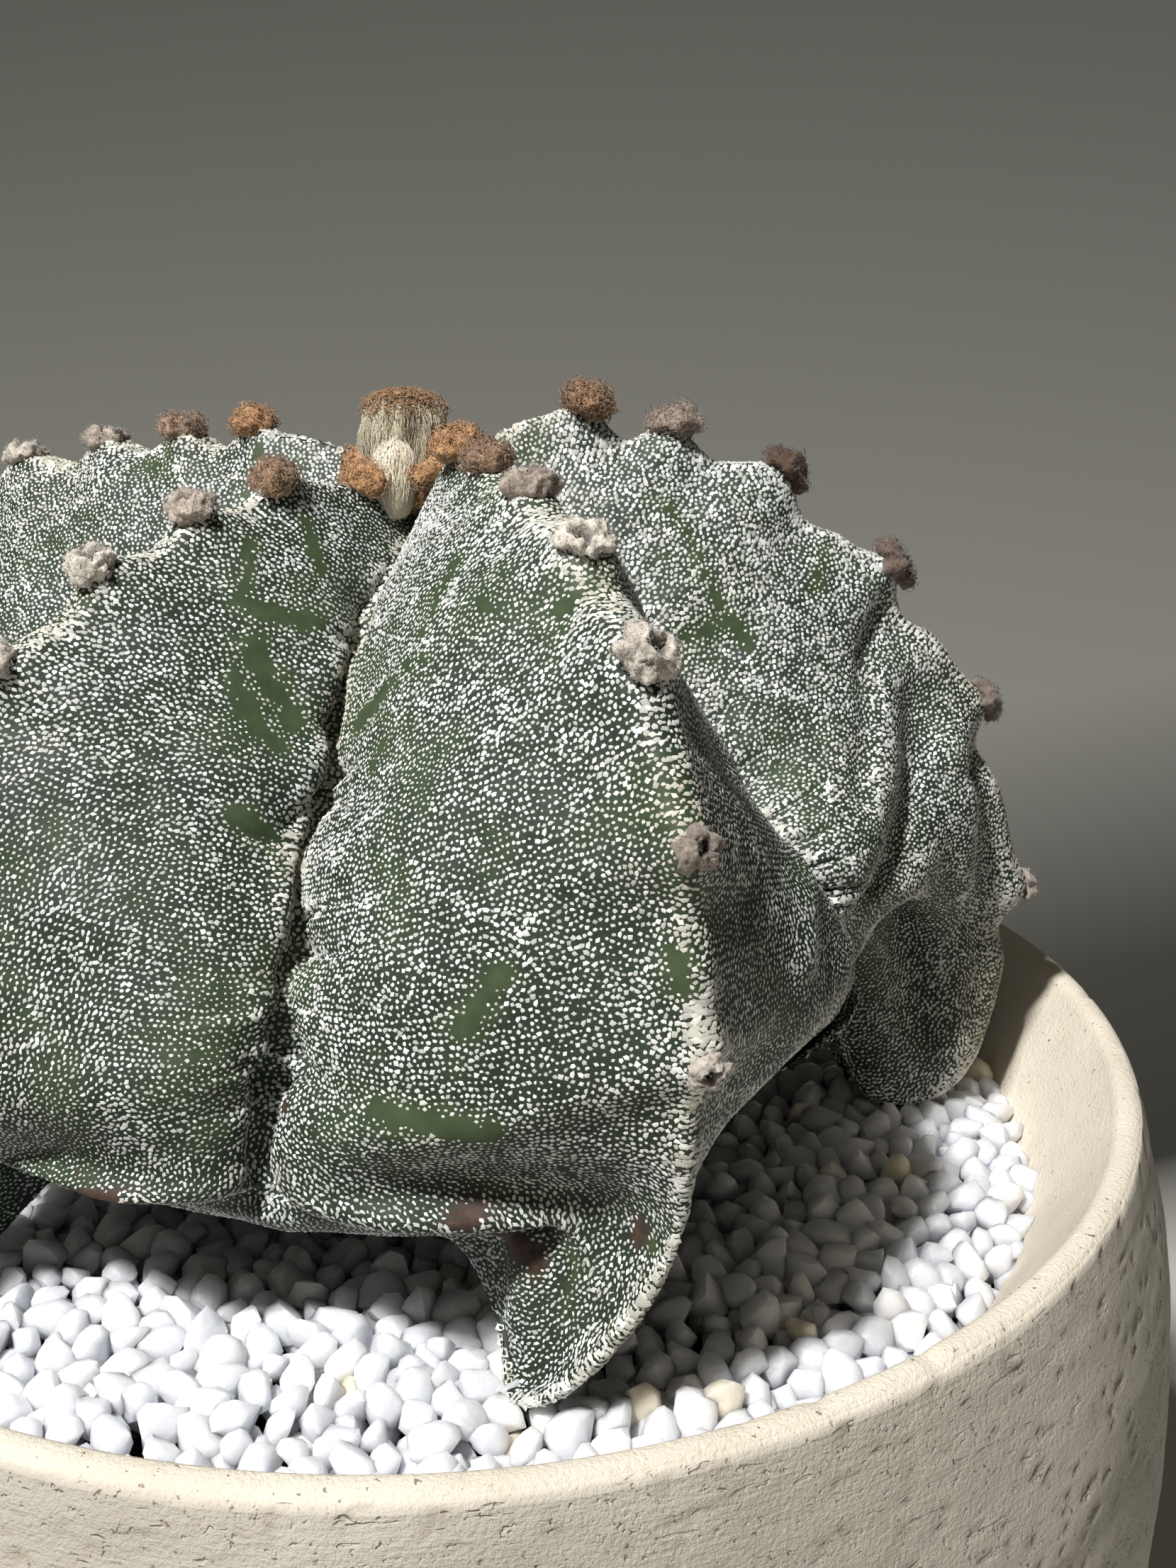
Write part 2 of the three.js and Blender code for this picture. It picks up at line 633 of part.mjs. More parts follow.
function stemSkin() {
  const rows = stations();
  const positions = [0, 0, POT_HEIGHT + GROOVE[0][1]];
  const travels = RIBS.map(ridgeTravel);
  const areoles = RIBS.map((rib, k) => areoleDistances(rib, travels[k]));
  let columns = 0;
  for (const station of rows) {
    columns = 0;
    RIBS.forEach((rib, k) => {
      const before = grooveAfter((k + RIBS.length - 1) % RIBS.length);
      const after = grooveAfter(k);
      const rise = scallop(distanceAtStation(travels[k], station), areoles[k]);
      const faded = rise * (1 - smooth(11.5, 12.5, station));
      const leftSteps = FLANK_STEPS.slice(0, -1);
      const rightSteps = FLANK_STEPS.slice(1).reverse();
      for (const share of leftSteps) {
        positions.push(...flankPoint(rib, before, -1, station, share, faded));
        columns += 1;
      }
      for (const share of rightSteps) {
        positions.push(...flankPoint(rib, after, 1, station, share, faded));
        columns += 1;
      }
    });
  }
  positions.push(0, 0, POT_HEIGHT + GROOVE[lastStation][1]);
  const tip = positions.length / 3 - 1;
  const indices = [];
  const at = (row, column) => 1 + row * columns + (column % columns);
  for (let column = 0; column < columns; column += 1) {
    indices.push(0, at(0, column), at(0, column + 1));
    for (let row = 0; row < rows.length - 1; row += 1) {
      indices.push(at(row, column), at(row + 1, column), at(row, column + 1));
      indices.push(at(row, column + 1), at(row + 1, column), at(row + 1, column + 1));
    }
    indices.push(at(rows.length - 1, column), tip, at(rows.length - 1, column + 1));
  }
  return geometryOf(positions, indices);
}

// a woolly areole: a lumpy pad, wider across the ridge than it is high
function areoleTuft(rib, station, size) {
  const lump = mergeVertices(stripped(new THREE.OctahedronGeometry(1, 1)), 1e-4);
  const place = lump.attributes.position;
  for (let i = 0; i < place.count; i += 1) {
    const swell = spread(0.84, 1.14);
    place.setXYZ(
      i,
      place.getX(i) * swell * size * AREOLE_DEPTH / 2,
      place.getY(i) * swell * size * AREOLE_WIDTH / 2,
      place.getZ(i) * swell * size * AREOLE_LENGTH / 2,
    );
  }
  const ridge = ridgeAt(rib, station);
  const normal = ridgeNormal(rib, station);
  const azimuth = rib.azimuth + twistAt(rib, station);
  const seat = size * (AREOLE_RISE - AREOLE_DEPTH / 2);
  lump.rotateY(-Math.atan2(normal.y, normal.x));
  const aside = spread(-AREOLE_WANDER, AREOLE_WANDER);
  lump.translate(ridge.x + normal.x * seat, aside, POT_HEIGHT + ridge.y + normal.y * seat);
  lump.rotateZ(THREE.MathUtils.degToRad(azimuth - 90));
  return lump;
}

function stripped(geometry) {
  geometry.deleteAttribute('normal');
  geometry.deleteAttribute('uv');
  return geometry;
}

function cactusStem(buds) {
  let solid = solidOf(stemSkin());
  for (const rib of RIBS) {
    const travel = ridgeTravel(rib);
    const distances = areoleDistances(rib, travel);
    const crown = stationAtDistance(travel, CROWN_TUFT_DISTANCE);
    solid = solid.add(solidOf(areoleTuft(rib, crown, 1)));
    distances.forEach((distance, k) => {
      const age = k / (distances.length - 1);
      const size = 1 - AREOLE_SHRINK * age;
      const station = stationAtDistance(travel, distance);
      solid = solid.add(solidOf(areoleTuft(rib, station, size * spread(0.9, 1.1))));
    });
  }
  const seats = buds.map((bud) => solidOf(budBody(bud, CLEARANCE)));
  return geometryOfSolid(solid.subtract(wasm.Manifold.hull(seats)));
}

// ---------------------------------------------------------------- buds
// a fluted egg of matted wool; grown by the given margin it cuts its own seat
function budBody(bud, margin) {
  const curve = spline(bud.profile);
  const columns = bud.flutes * 2;
  const [, low] = bud.profile[0];
  const [, high] = bud.profile[bud.profile.length - 1];
  const positions = [bud.x, bud.y, POT_HEIGHT + low - margin];
  for (let row = 1; row < bud.rows; row += 1) {
    const point = curve.getPoint(row / bud.rows);
    for (let column = 0; column < columns; column += 1) {
      const depth = column % 2 === 0 ? 0 : bud.flute_depth;
      const radius = point.x * (1 - (margin > 0 ? 0 : depth)) + margin;
      const angle = 2 * Math.PI * column / columns;
      positions.push(bud.x + radius * Math.cos(angle));
      positions.push(bud.y + radius * Math.sin(angle));
      positions.push(POT_HEIGHT + point.y);
    }
  }
  positions.push(bud.x, bud.y, POT_HEIGHT + high + margin);
  const top = positions.length / 3 - 1;
  const indices = [];
  const at = (row, column) => 1 + row * columns + (column % columns);
  for (let column = 0; column < columns; column += 1) {
    indices.push(0, at(0, column + 1), at(0, column));
    for (let row = 0; row < bud.rows - 2; row += 1) {
      indices.push(at(row, column), at(row, column + 1), at(row + 1, column));
      indices.push(at(row, column + 1), at(row + 1, column + 1), at(row + 1, column));
    }
    indices.push(at(bud.rows - 2, column), at(bud.rows - 2, column + 1), top);
  }
  return geometryOf(positions, indices);
}

// ---------------------------------------------------------------- the object
const object = new THREE.Group();
object.add(namedMesh('pot', pot(), STONEWARE, 0.85));
object.add(namedMesh('drainage_mesh', drainageMesh(), PLASTIC_MESH, 0.6));
object.add(namedMesh('potting_mix', pottingMix(), EARTH, 1));
object.add(namedMesh('gravel_dressing', gravelDressing(), QUARTZ, 0.45));
object.add(namedMesh('cactus_stem', cactusStem([LARGE_BUD, SMALL_BUD]), STEM_GREEN, 0.8));
object.add(namedMesh('flower_bud_large', budBody(LARGE_BUD, 0), BUD_CREAM, 0.9));
object.add(namedMesh('flower_bud_small', budBody(SMALL_BUD, 0), BUD_CREAM, 0.9));

export default object;
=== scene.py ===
"""Looks of the potted bishop's cap cactus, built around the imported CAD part.

Lengths in the tables are millimetres in the CAD frame; meshes are made in metres.
"""

import json
import math

import bmesh
import bpy
import numpy as np
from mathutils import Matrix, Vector, kdtree, noise
from mathutils.bvhtree import BVHTree

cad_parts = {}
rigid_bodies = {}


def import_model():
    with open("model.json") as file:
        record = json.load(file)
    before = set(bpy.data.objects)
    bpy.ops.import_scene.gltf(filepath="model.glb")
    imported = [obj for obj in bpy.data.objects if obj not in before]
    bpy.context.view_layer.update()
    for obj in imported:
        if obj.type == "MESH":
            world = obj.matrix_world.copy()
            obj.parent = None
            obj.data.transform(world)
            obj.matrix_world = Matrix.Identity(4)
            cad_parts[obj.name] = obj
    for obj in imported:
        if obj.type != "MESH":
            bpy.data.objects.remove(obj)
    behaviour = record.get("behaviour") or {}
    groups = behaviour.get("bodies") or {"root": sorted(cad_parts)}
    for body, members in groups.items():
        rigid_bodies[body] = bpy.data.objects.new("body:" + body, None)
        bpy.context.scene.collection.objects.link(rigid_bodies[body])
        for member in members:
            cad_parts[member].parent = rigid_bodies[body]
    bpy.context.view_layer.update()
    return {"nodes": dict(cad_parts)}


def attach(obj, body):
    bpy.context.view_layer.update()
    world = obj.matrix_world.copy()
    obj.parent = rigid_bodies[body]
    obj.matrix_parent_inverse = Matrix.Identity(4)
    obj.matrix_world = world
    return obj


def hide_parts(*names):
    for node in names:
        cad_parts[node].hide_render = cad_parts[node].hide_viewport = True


MM = 0.001
POT_HEIGHT = 105
CAMERA_PLACE = (0, -0.1724, 0.1881)
CAMERA_TILT, CAMERA_TURN = 72.03, -5.6
LENS_LENGTH, SENSOR_WIDTH = 39.06, 36

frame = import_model()
scene = bpy.context.scene


# ---------------------------------------------------------------- camera
def photo_camera():
    """Camera of the photograph: where it stood, how it was tilted and its angle of view."""
    data = bpy.data.cameras.new("photo_camera")
    data.sensor_fit = "AUTO"
    data.sensor_width = SENSOR_WIDTH
    data.lens = LENS_LENGTH
    data.clip_start = 0.01
    data.clip_end = 20
    camera = bpy.data.objects.new("photo_camera", data)
    camera.location = CAMERA_PLACE
    camera.rotation_euler = (math.radians(CAMERA_TILT), 0, math.radians(CAMERA_TURN))
    scene.collection.objects.link(camera)
    scene.camera = camera


photo_camera()


# ---------------------------------------------------------------- numbers
def mix(a, b, t):
    return a + (b - a) * t


def smooth(low, high, value):
    t = np.clip((value - low) / (high - low), 0, 1)
    return t * t * (3 - 2 * t)


def bumps(points, size, seed):
    """Smooth random values, about -1 to 1, whose bumps have the given size, at points in mm.
    A size of three numbers stretches the bumps along the axes."""
    shift = Vector((seed * 31.7, seed * 17.3, seed * 53.9))
    scaled = np.asarray(points, float).reshape(-1, 3) / np.asarray(size, float)
    values = [noise.noise(Vector(point) + shift) for point in scaled]
    return np.array(values).reshape(np.shape(points)[:-1])


def spline_at(points, station):
    """Smooth curve through points; station k is point k, and stations between are allowed."""
    table = np.asarray(points, float)
    last = len(table) - 1
    station = np.asarray(station, float)
    base = np.clip(np.floor(station).astype(int), 0, last)
    t = (station - base)[..., None]
    before, start = table[np.clip(base - 1, 0, last)], table[base]
    end, after = table[np.clip(base + 1, 0, last)], table[np.clip(base + 2, 0, last)]
    leave, arrive = (end - before) / 2, (after - start) / 2
    cubic = 2 * start - 2 * end + leave + arrive
    square = 3 * end - 3 * start - 2 * leave - arrive
    return ((cubic * t + square) * t + leave) * t + start


def heading(degrees):
    """Level direction of an azimuth, counted from the front towards the right."""
    angle = np.radians(degrees)
    return np.stack([np.sin(angle), -np.cos(angle)], axis=-1)


def turned(vector, degrees):
    angle = np.radians(degrees)
    cos, sin = np.cos(angle), np.sin(angle)
    x, y = vector[..., 0], vector[..., 1]
    return np.stack([x * cos - y * sin, x * sin + y * cos], axis=-1)


def unit(vectors):
    return vectors / np.maximum(np.linalg.norm(vectors, axis=-1, keepdims=True), 1e-9)


# ---------------------------------------------------------------- meshes
def shown(name, mesh, material, slot, *replaced):
    """Adds a finished piece that rides on the part and, where told, stands for CAD nodes."""
    mesh.materials.clear()
    mesh.materials.append(material)
    piece = bpy.data.objects.new(name, mesh)
    scene.collection.objects.link(piece)
    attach(piece, "root")
    if replaced:
        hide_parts(*replaced)


def mesh_of(bm, name):
    for face in bm.faces:
        face.smooth = True
    mesh = bpy.data.meshes.new(name)
    bm.to_mesh(mesh)
    bm.free()
    return mesh


def vertex_values(mesh, values):
    """Stores named numbers or vectors on the vertices, for materials and scattering."""
    for name, value in values.items():
        array = np.asarray(value, np.float32)
        kind = "FLOAT_VECTOR" if array.ndim == 2 else "FLOAT"
        layer = mesh.attributes.new(name, kind, "POINT")
        layer.data.foreach_set("vector" if array.ndim == 2 else "value", array.ravel())


def moved_grid(name, points, values, face_values=None):
    """Mesh of a table of points in mm, rows by columns, with named values for each point.
    Points that meet, as at a seam or a pole, are merged."""
    rows, columns = points.shape[:2]
    bm = bmesh.new()
    bmesh.ops.create_grid(bm, x_segments=columns - 1, y_segments=rows - 1, size=1)
    mesh = mesh_of(bm, name)
    mesh.vertices.foreach_set("co", (points * MM).ravel())
    vertex_values(mesh, {k: v.reshape(rows * columns, *v.shape[2:]) for k, v in values.items()})
    for key, value in (face_values or {}).items():
        layer = mesh.attributes.new(key, "INT", "FACE")
        layer.data.foreach_set("value", value.ravel())
    bm = bmesh.new()
    bm.from_mesh(mesh)
    bmesh.ops.remove_doubles(bm, verts=bm.verts, dist=1e-6)
    bmesh.ops.recalc_face_normals(bm, faces=bm.faces)
    bm.to_mesh(mesh)
    bm.free()
    return mesh


def places(mesh):
    """Vertex positions of a mesh, in mm."""
    found = np.empty(len(mesh.vertices) * 3, np.float32)
    mesh.vertices.foreach_get("co", found)
    return found.reshape(-1, 3).astype(float) / MM


def value_of(mesh, name):
    found = np.empty(len(mesh.vertices), np.float32)
    mesh.attributes[name].data.foreach_get("value", found)
    return found


def node_group(build):
    """Runs geometry nodes over a mesh and returns the mesh that they make.
    build gets the node maker and the host's geometry socket, and returns the last socket."""
    def run(host):
        tree = bpy.data.node_groups.new("strew", "GeometryNodeTree")
        for way in ("INPUT", "OUTPUT"):
            tree.interface.new_socket("Geometry", in_out=way, socket_type="NodeSocketGeometry")

        def node(kind, inputs=(), **settings):
            made = tree.nodes.new(kind)
            for key, value in settings.items():
                setattr(made, key, value)
            for index, value in dict(inputs).items():
                if isinstance(value, bpy.types.NodeSocket):
                    tree.links.new(value, made.inputs[index])
                else:
                    made.inputs[index].default_value = value
            return made

        last = build(node, node("NodeGroupInput").outputs[0])
        node("NodeGroupOutput", {0: last})
        holder = bpy.data.objects.new("holder", host)
        scene.collection.objects.link(holder)
        holder.modifiers.new("strew", "NODES").node_group = tree
        graph = bpy.context.evaluated_depsgraph_get()
        made = bpy.data.meshes.new_from_object(holder.evaluated_get(graph), depsgraph=graph)
        bpy.data.objects.remove(holder)
        bpy.data.node_groups.remove(tree)
        return made
    return run


def strewn(host, spacing, crowd, seed, cover=None, flank=None):
    """Random places on a mesh as loose vertices that keep its values and its normal.

    spacing: least distance in mm. crowd: tries per square mm. cover: vertex value from 0, bare,
    to 1, full. flank: number that the host's faces must have.
    """
    def build(node, source):
        inputs = {0: source, 2: spacing * MM, 3: crowd / MM**2, 6: seed}
        if cover:
            inputs[5] = node("GeometryNodeInputNamedAttribute", {0: cover}).outputs[0]
        if flank is not None:
            number = node("GeometryNodeInputNamedAttribute", {0: "flank"}, data_type="INT")
            inputs[1] = node("FunctionNodeCompare", {2: number.outputs[0], 3: flank},
                             data_type="INT", operation="EQUAL").outputs[0]
        strew = node("GeometryNodeDistributePointsOnFaces", inputs, distribute_method="POISSON")
        kept = node("GeometryNodeStoreNamedAttribute", {
            0: strew.outputs[0], 2: "upright", 3: strew.outputs[1],
        }, data_type="FLOAT_VECTOR", domain="POINT")
        return node("GeometryNodePointsToVertices", {0: kept.outputs[0]}).outputs[0]
    return node_group(build)(host)


def spread_out(points_mesh, host, reach, rounds):
    """Pushes crowded places apart along the surface, so that they lie as evenly as flecks do."""
    surface = bmesh.new()
    surface.from_mesh(host)
    tree = BVHTree.FromBMesh(surface)
    surface.free()
    spots = places(points_mesh) * MM
    for _ in range(rounds):
        near = kdtree.KDTree(len(spots))
        for index, spot in enumerate(spots):
            near.insert(spot, index)
        near.balance()
        found = [near.find_n(spot, 7)[1:] for spot in spots]
        others = np.array([[item[1] for item in row] for row in found])
        away = spots[:, None] - spots[others]
        gap = np.linalg.norm(away, axis=-1, keepdims=True)
        push = (away / np.maximum(gap, 1e-7) * np.maximum(reach * MM - gap, 0)).sum(axis=1) * 0.3
        spots = np.array([tree.find_nearest(Vector(spot))[0] for spot in spots + push])
    points_mesh.vertices.foreach_set("co", spots.astype(np.float32).ravel())


def placed(points_mesh, shapes, seed, size, maps=None, turn=180, tumble=False):
    """Sets copies of small shapes on strewn places and returns them all as one mesh.

    size: least and greatest factor. maps: names of the values for the size and for the stretch
    along "across". turn: most turn about the normal, in degrees. tumble: turn every way.
    """
    shelf = bpy.data.collections.new("shapes")
    for shape in shapes:
        shelf.objects.link(bpy.data.objects.new("shape", shape))

    def build(node, source):
        def named(name, kind="FLOAT"):
            made = node("GeometryNodeInputNamedAttribute", {0: name}, data_type=kind)
            return made.outputs[0]

        def product(first, second):
            return node("ShaderNodeMath", {0: first, 1: second}, operation="MULTIPLY").outputs[0]

        def chance(low, high, salt):
            inputs = {2: low, 3: high, 8: seed * 100 + salt}
            return node("FunctionNodeRandomValue", inputs, data_type="FLOAT").outputs[1]

        def spun(rotation, axis, limit, salt):
            by = node("FunctionNodeAxisAngleToRotation", {
                0: axis, 1: chance(-limit, limit, salt)})
            return node("FunctionNodeRotateRotation", {0: rotation, 1: by.outputs[0]},
                        rotation_space="LOCAL").outputs[0]

        rotation = node("FunctionNodeAxesToRotation", {
            0: named("upright", "FLOAT_VECTOR"), 1: named("across", "FLOAT_VECTOR"),
        }, primary_axis="Z", secondary_axis="X").outputs[0]
        rotation = spun(rotation, (0, 0, 1), math.radians(turn), 1)
        if tumble:
            rotation = spun(rotation, (1, 0, 0), math.pi, 2)
            rotation = spun(rotation, (0, 1, 0), math.pi, 3)
        factor = chance(size[0], size[1], 5)
        longer = factor
        if maps:
            factor = product(factor, named(maps[0]))
            longer = product(factor, named(maps[1]))
        scale = node("ShaderNodeCombineXYZ", {0: longer, 1: factor, 2: factor})
        children = node("GeometryNodeCollectionInfo", {0: shelf, 1: True, 2: True})
        pick = node("FunctionNodeRandomValue", {4: 0, 5: len(shapes) - 1, 8: seed * 100 + 7},
                    data_type="INT")
        copies = node("GeometryNodeInstanceOnPoints", {
            0: source, 2: children.outputs[0], 3: True, 4: pick.outputs[2], 5: rotation,
            6: scale.outputs[0],
        })
        tone = node("GeometryNodeStoreNamedAttribute", {
            0: copies.outputs[0], 2: "tone", 3: chance(0, 1, 9),
        }, data_type="FLOAT", domain="INSTANCE")
        return node("GeometryNodeRealizeInstances", {0: tone.outputs[0]}).outputs[0]

    made = node_group(build)(points_mesh)
    for child in list(shelf.objects):
        bpy.data.objects.remove(child)
    bpy.data.collections.remove(shelf)
    return made


# ---------------------------------------------------------------- stem: its form
# Profiles of the stem in millimetres, [radius, height above the rim], from the apex along the
# outside, round the foot, along the underside and down the root. A station is a place in them.
SHOULDERED_RIDGE = (
    (0, 55), (5, 60.5), (12, 64.2), (22, 64), (34, 61.7), (45.5, 57.6), (55, 52), (61, 43),
    (64, 32), (64.5, 21), (62.3, 10), (59.8, 0), (57, -7.6), (52.5, -9.2), (46.5, -5),
    (37, -3.2), (27, -5.2), (19.7, -10.5), (17.5, -16), (13, -30), (6.5, -46), (0, -54),
)
ROUND_RIDGE = (
    (0, 55), (5, 60.5), (11.5, 64.4), (20, 64.2), (31, 60.8), (41.5, 54.3), (50, 46.5),
    (56.5, 38.5), (61, 28.5), (64, 17), (63.8, 6), (61.3, -3), (58, -8), (53, -9.2),
    (46.5, -5), (37, -3.2), (27, -5.2), (19.7, -10.5), (17.5, -16), (13, -30), (6.5, -46),
    (0, -54),
)
GROOVE = (
    (0, 55), (2.6, 54.8), (6, 53.8), (12, 51.4), (19, 46.4), (25.8, 38.3), (32, 31.6),
    (37.8, 26.4), (42.3, 21.6), (44.8, 16), (46.4, 10.6), (47.6, 6.8), (47.8, 4.2),
    (45.5, 1.6), (41, -0.2), (33.5, -1.8), (25.5, -4.8), (19.6, -10.3), (17.5, -16),
    (13, -30), (6.5, -46), (0, -54),
)
LAST_STATION = len(GROOVE) - 1
ARCH_STATION = 12
FOOT_STATION = 12.5
NECK_STATION = 18
ARCH_FADE_HEIGHT = 30
GROOVE_OPENING = 24
RIDGE_HALF_ANGLE = 47
GROOVE_HANDLE = 0.34
RIDGE_HANDLE = 0.36
FULL_LOBE = 12
CROWN_FOLD = 1.2
FIN_RUN = 2
TUCK_DELAY, TUCK_RUN = 1.5, 1.7
TUCK_OPENING = 100
TUCK_HANDLE = 1
FIN_HANDLE = 0.38
CREST_RADIUS = 2.2
CREST_SHARE = 0.9

# A rib: its azimuth and the turn of its foot; how square its shoulder is and how far its ridge is
# lifted; for its left and right flank, how late the height falls, the station where it thins to a
# fin and how wide the fin opens; lift of the groove after it; first, step and growth of its
# areoles' distances; age, size and browning of their felt; swell of the ridge above them; run of
# the tucked flank; crest widened near the foot; size of the flecks; and dust on the ground, which
# also sets how light the rib looks, so it is partly dust and partly painted light and shade.
USUAL_RIB = dict(
    fins=(8.8, 8.8), spreads=(3, 3), scallop=0.9, tuck=(0.66, 0.94), stout=0, felt=0.9, worn=(),
    flecks=1.0, dust_and_shade=1,
)
RIBS = [{**USUAL_RIB, **own} for own in (
    dict(azimuth=17.6, twist=-11.5, shoulder=1.0, lift=-0.7, falls=(6, 2.2), spreads=(-20, 13),
         arch=11, first=15, step=7.65, growth=0.8, age=0.0, worn=(0, 0, 0.3, 0, 0, 0.65, 0.1),
         dust_and_shade=0.9),
    dict(azimuth=90, twist=-4, shoulder=0.05, lift=0.4, falls=(5, 4.5), fins=(7.6, 8.8),
         spreads=(12, 3), arch=3, first=20.5, step=7.2, growth=1.6, age=0.15, scallop=1.6,
         tuck=(0.3, 0.95), stout=2.2, felt=1.05, worn=(0.2, 0.4, 1, 0.9, 0.8, 0.5), flecks=1.08,
         dust_and_shade=1.3),
    dict(azimuth=163, twist=-9, shoulder=0.1, lift=-5, falls=(4, 5), arch=2, first=18, step=8,
         growth=1.1, age=0.1),
    dict(azimuth=238, twist=-9, shoulder=1.8, lift=-1.2, falls=(4.5, 5), arch=1, first=23,
         step=8.6, growth=0.75, age=0.03, scallop=1.1, felt=0.92, worn=(0, 0, 0.2, 0.2),
         dust_and_shade=0.8),
    dict(azimuth=308, twist=-9, shoulder=0.1, lift=-4.2, falls=(5, 6), arch=0, first=19, step=8.4,
         growth=0.7, age=0.2, felt=0.88, flecks=0.91, dust_and_shade=0.3),
)]
FRONT_RIB = 0
BARE_FOOT = 18
MOST_AREOLES = 20
SCALLOP_WIDTH = 3
CROWN_TUFT_DISTANCE, CROWN_TUFT_SIZE = 8.5, 0.95
INNER_TUFT_DISTANCE, INNER_TUFT_SIZE = 4.2, 0.75
LOW_PAD_SIZE = 0.64  # of the pads near the foot, against those above


def ridge_line(rib, station):
    line = mix(spline_at(ROUND_RIDGE, station), spline_at(SHOULDERED_RIDGE, station),
               rib["shoulder"])
    line[..., 1] += rib["lift"] * (1 - smooth(6, 11, station)) * smooth(0.5, 2, station)
    return line


def ridge_normal(rib, station):
    ahead = ridge_line(rib, np.minimum(station + 0.1, LAST_STATION))
    along = unit(ahead - ridge_line(rib, np.maximum(station - 0.1, 0)))
    return np.stack([-along[..., 1], along[..., 0]], axis=-1)


def groove_line(arch, station):
    line = spline_at(GROOVE, station)
    low = GROOVE[ARCH_STATION][1]
    above = np.clip((ARCH_FADE_HEIGHT - line[..., 1]) / (ARCH_FADE_HEIGHT - low), 0, 1)
    beneath = 1 - smooth(ARCH_STATION, ARCH_STATION + 4.5, station)
    line[..., 1] += arch * np.where(station < ARCH_STATION, above, beneath)
    return line


def twist_at(rib, station):
    return rib["twist"] * smooth(9.9, 13, station)


def fold_at(station, fall):
    """Power that keeps a flank at the groove's height until near the ridge."""
    return mix(mix(CROWN_FOLD, fall, smooth(7, 11, station)), 1,
               smooth(14, NECK_STATION, station))


FINE_STATIONS = np.linspace(0, LAST_STATION, 2101)
for rib in RIBS:
    steps = np.linalg.norm(np.diff(ridge_line(rib, FINE_STATIONS), axis=0), axis=1)
    rib["travel"] = np.concatenate([[0], np.cumsum(steps)])
    end = np.interp(FOOT_STATION, FINE_STATIONS, rib["travel"]) - BARE_FOOT
    marks = [rib["first"] + rib["step"] * k + rib["growth"] * k * k for k in range(MOST_AREOLES)]
    rib["areoles"] = [mark for mark in marks if mark < end]


def scallops(rib, station):
    """The ridge swells above each areole and is notched below it."""
    distance = np.interp(station, FINE_STATIONS, rib["travel"])
    rise = np.zeros_like(distance)
    for place in rib["areoles"]:
        off = (distance - place) / SCALLOP_WIDTH
        rise += rib["scallop"] * (np.exp(-off**2) - np.exp(-(off - 1.5) ** 2))
    return rise * (1 - smooth(11.5, FOOT_STATION, station))


def flank(rib, groove_azimuth, arch, side, station, share):
    """Points of a flank in mm: stations down, shares from 0 in the groove to 1 on the ridge.
    Towards the foot the belly tucks under and the rib narrows to a fin with a round crest."""
    hand = 0 if side < 0 else 1
    ridge = ridge_line(rib, station)
    groove = groove_line(arch, station)
    above_neck = 1 - smooth(13, 15, station)
    begin = rib["fins"][hand]
    fin = (smooth(begin, begin + FIN_RUN, station) * above_neck)[:, None]
    begin += TUCK_DELAY
    tuck = (smooth(begin, begin + TUCK_RUN, station) * above_neck)[:, None]
    ridge_way = heading(rib["azimuth"] + twist_at(rib, station))
    groove_way = heading(groove_azimuth)
    lobe = smooth(0, FULL_LOBE, ridge[:, 0] - groove[:, 0])
    opening = mix(mix(90, GROOVE_OPENING, lobe), TUCK_OPENING, tuck[:, 0])
    half = mix(mix(90, RIDGE_HALF_ANGLE, lobe), rib["spreads"][hand], fin[:, 0])
    crest = (CREST_RADIUS * smooth(0.5, 3.5, station) * lobe)[:, None]
    crest = crest * (1 - 0.5 * fin) * (1 + rib["stout"] * fin)
    beside = side * turned(ridge_way, 90)
    start = groove_way * groove[:, :1]
    middle = ridge_way * (ridge[:, :1] - crest)
    corner = np.radians(90 - half)[:, None]
    end = middle + crest * (np.cos(corner) * ridge_way + np.sin(corner) * beside)
    chord = np.linalg.norm(end - start, axis=1, keepdims=True)
    groove_handle = mix(GROOVE_HANDLE, TUCK_HANDLE, tuck)
    ridge_handle = mix(RIDGE_HANDLE, FIN_HANDLE, fin)
    leave = start + turned(groove_way, -side * opening) * chord * groove_handle
    arrive = end + turned(-ridge_way, -side * half) * chord * ridge_handle
    t = np.minimum(share / CREST_SHARE, 1)[None, :, None]
    plan = ((1 - t) ** 3 * start[:, None] + 3 * t * (1 - t) ** 2 * leave[:, None]
            + 3 * t * t * (1 - t) * arrive[:, None] + t**3 * end[:, None])
    rest = np.clip((1 - share) / (1 - CREST_SHARE), 0, 1)[None, :, None]
    bend = corner[:, None] * rest
    arc = middle[:, None] + crest[:, None] * (np.cos(bend) * ridge_way[:, None]
                                              + np.sin(bend) * beside[:, None])
    plan = np.where(share[None, :, None] > CREST_SHARE, arc, plan)
    run = np.minimum(share / CREST_SHARE, 1)[None, :]
    fold = fold_at(station, rib["falls"][hand])[:, None]
    drop = mix(run**fold, smooth(*rib["tuck"], run), tuck)
    height = mix(groove[:, 1:], ridge[:, 1:], drop)
    lift = scallops(rib, station)[:, None] * smooth(0.6, 1, run)
    normal = ridge_normal(rib, station)
    plan = plan + ridge_way[:, None] * (normal[:, :1] * lift)[..., None]
    height = height + normal[:, 1:] * lift + POT_HEIGHT
    return np.concatenate([plan, height[..., None]], axis=-1)


# ---------------------------------------------------------------- stem: its skin
FLANK_STEPS = 39
SKIN_STATIONS = np.concatenate([
    np.linspace(0, 13, 206), np.linspace(13, NECK_STATION, 28)[1:],
    np.linspace(NECK_STATION, LAST_STATION, 12)[1:],
])
EVEN = np.arange(FLANK_STEPS) / FLANK_STEPS
SHARES = mix(EVEN, smooth(0, 1, EVEN), 0.45)
RIB_COLUMNS = 2 * FLANK_STEPS
FLECKS_END = 15.5  # station under the plant where the flecks stop
STATION_RUN = 9  # mm down the skin from one station to the next, about

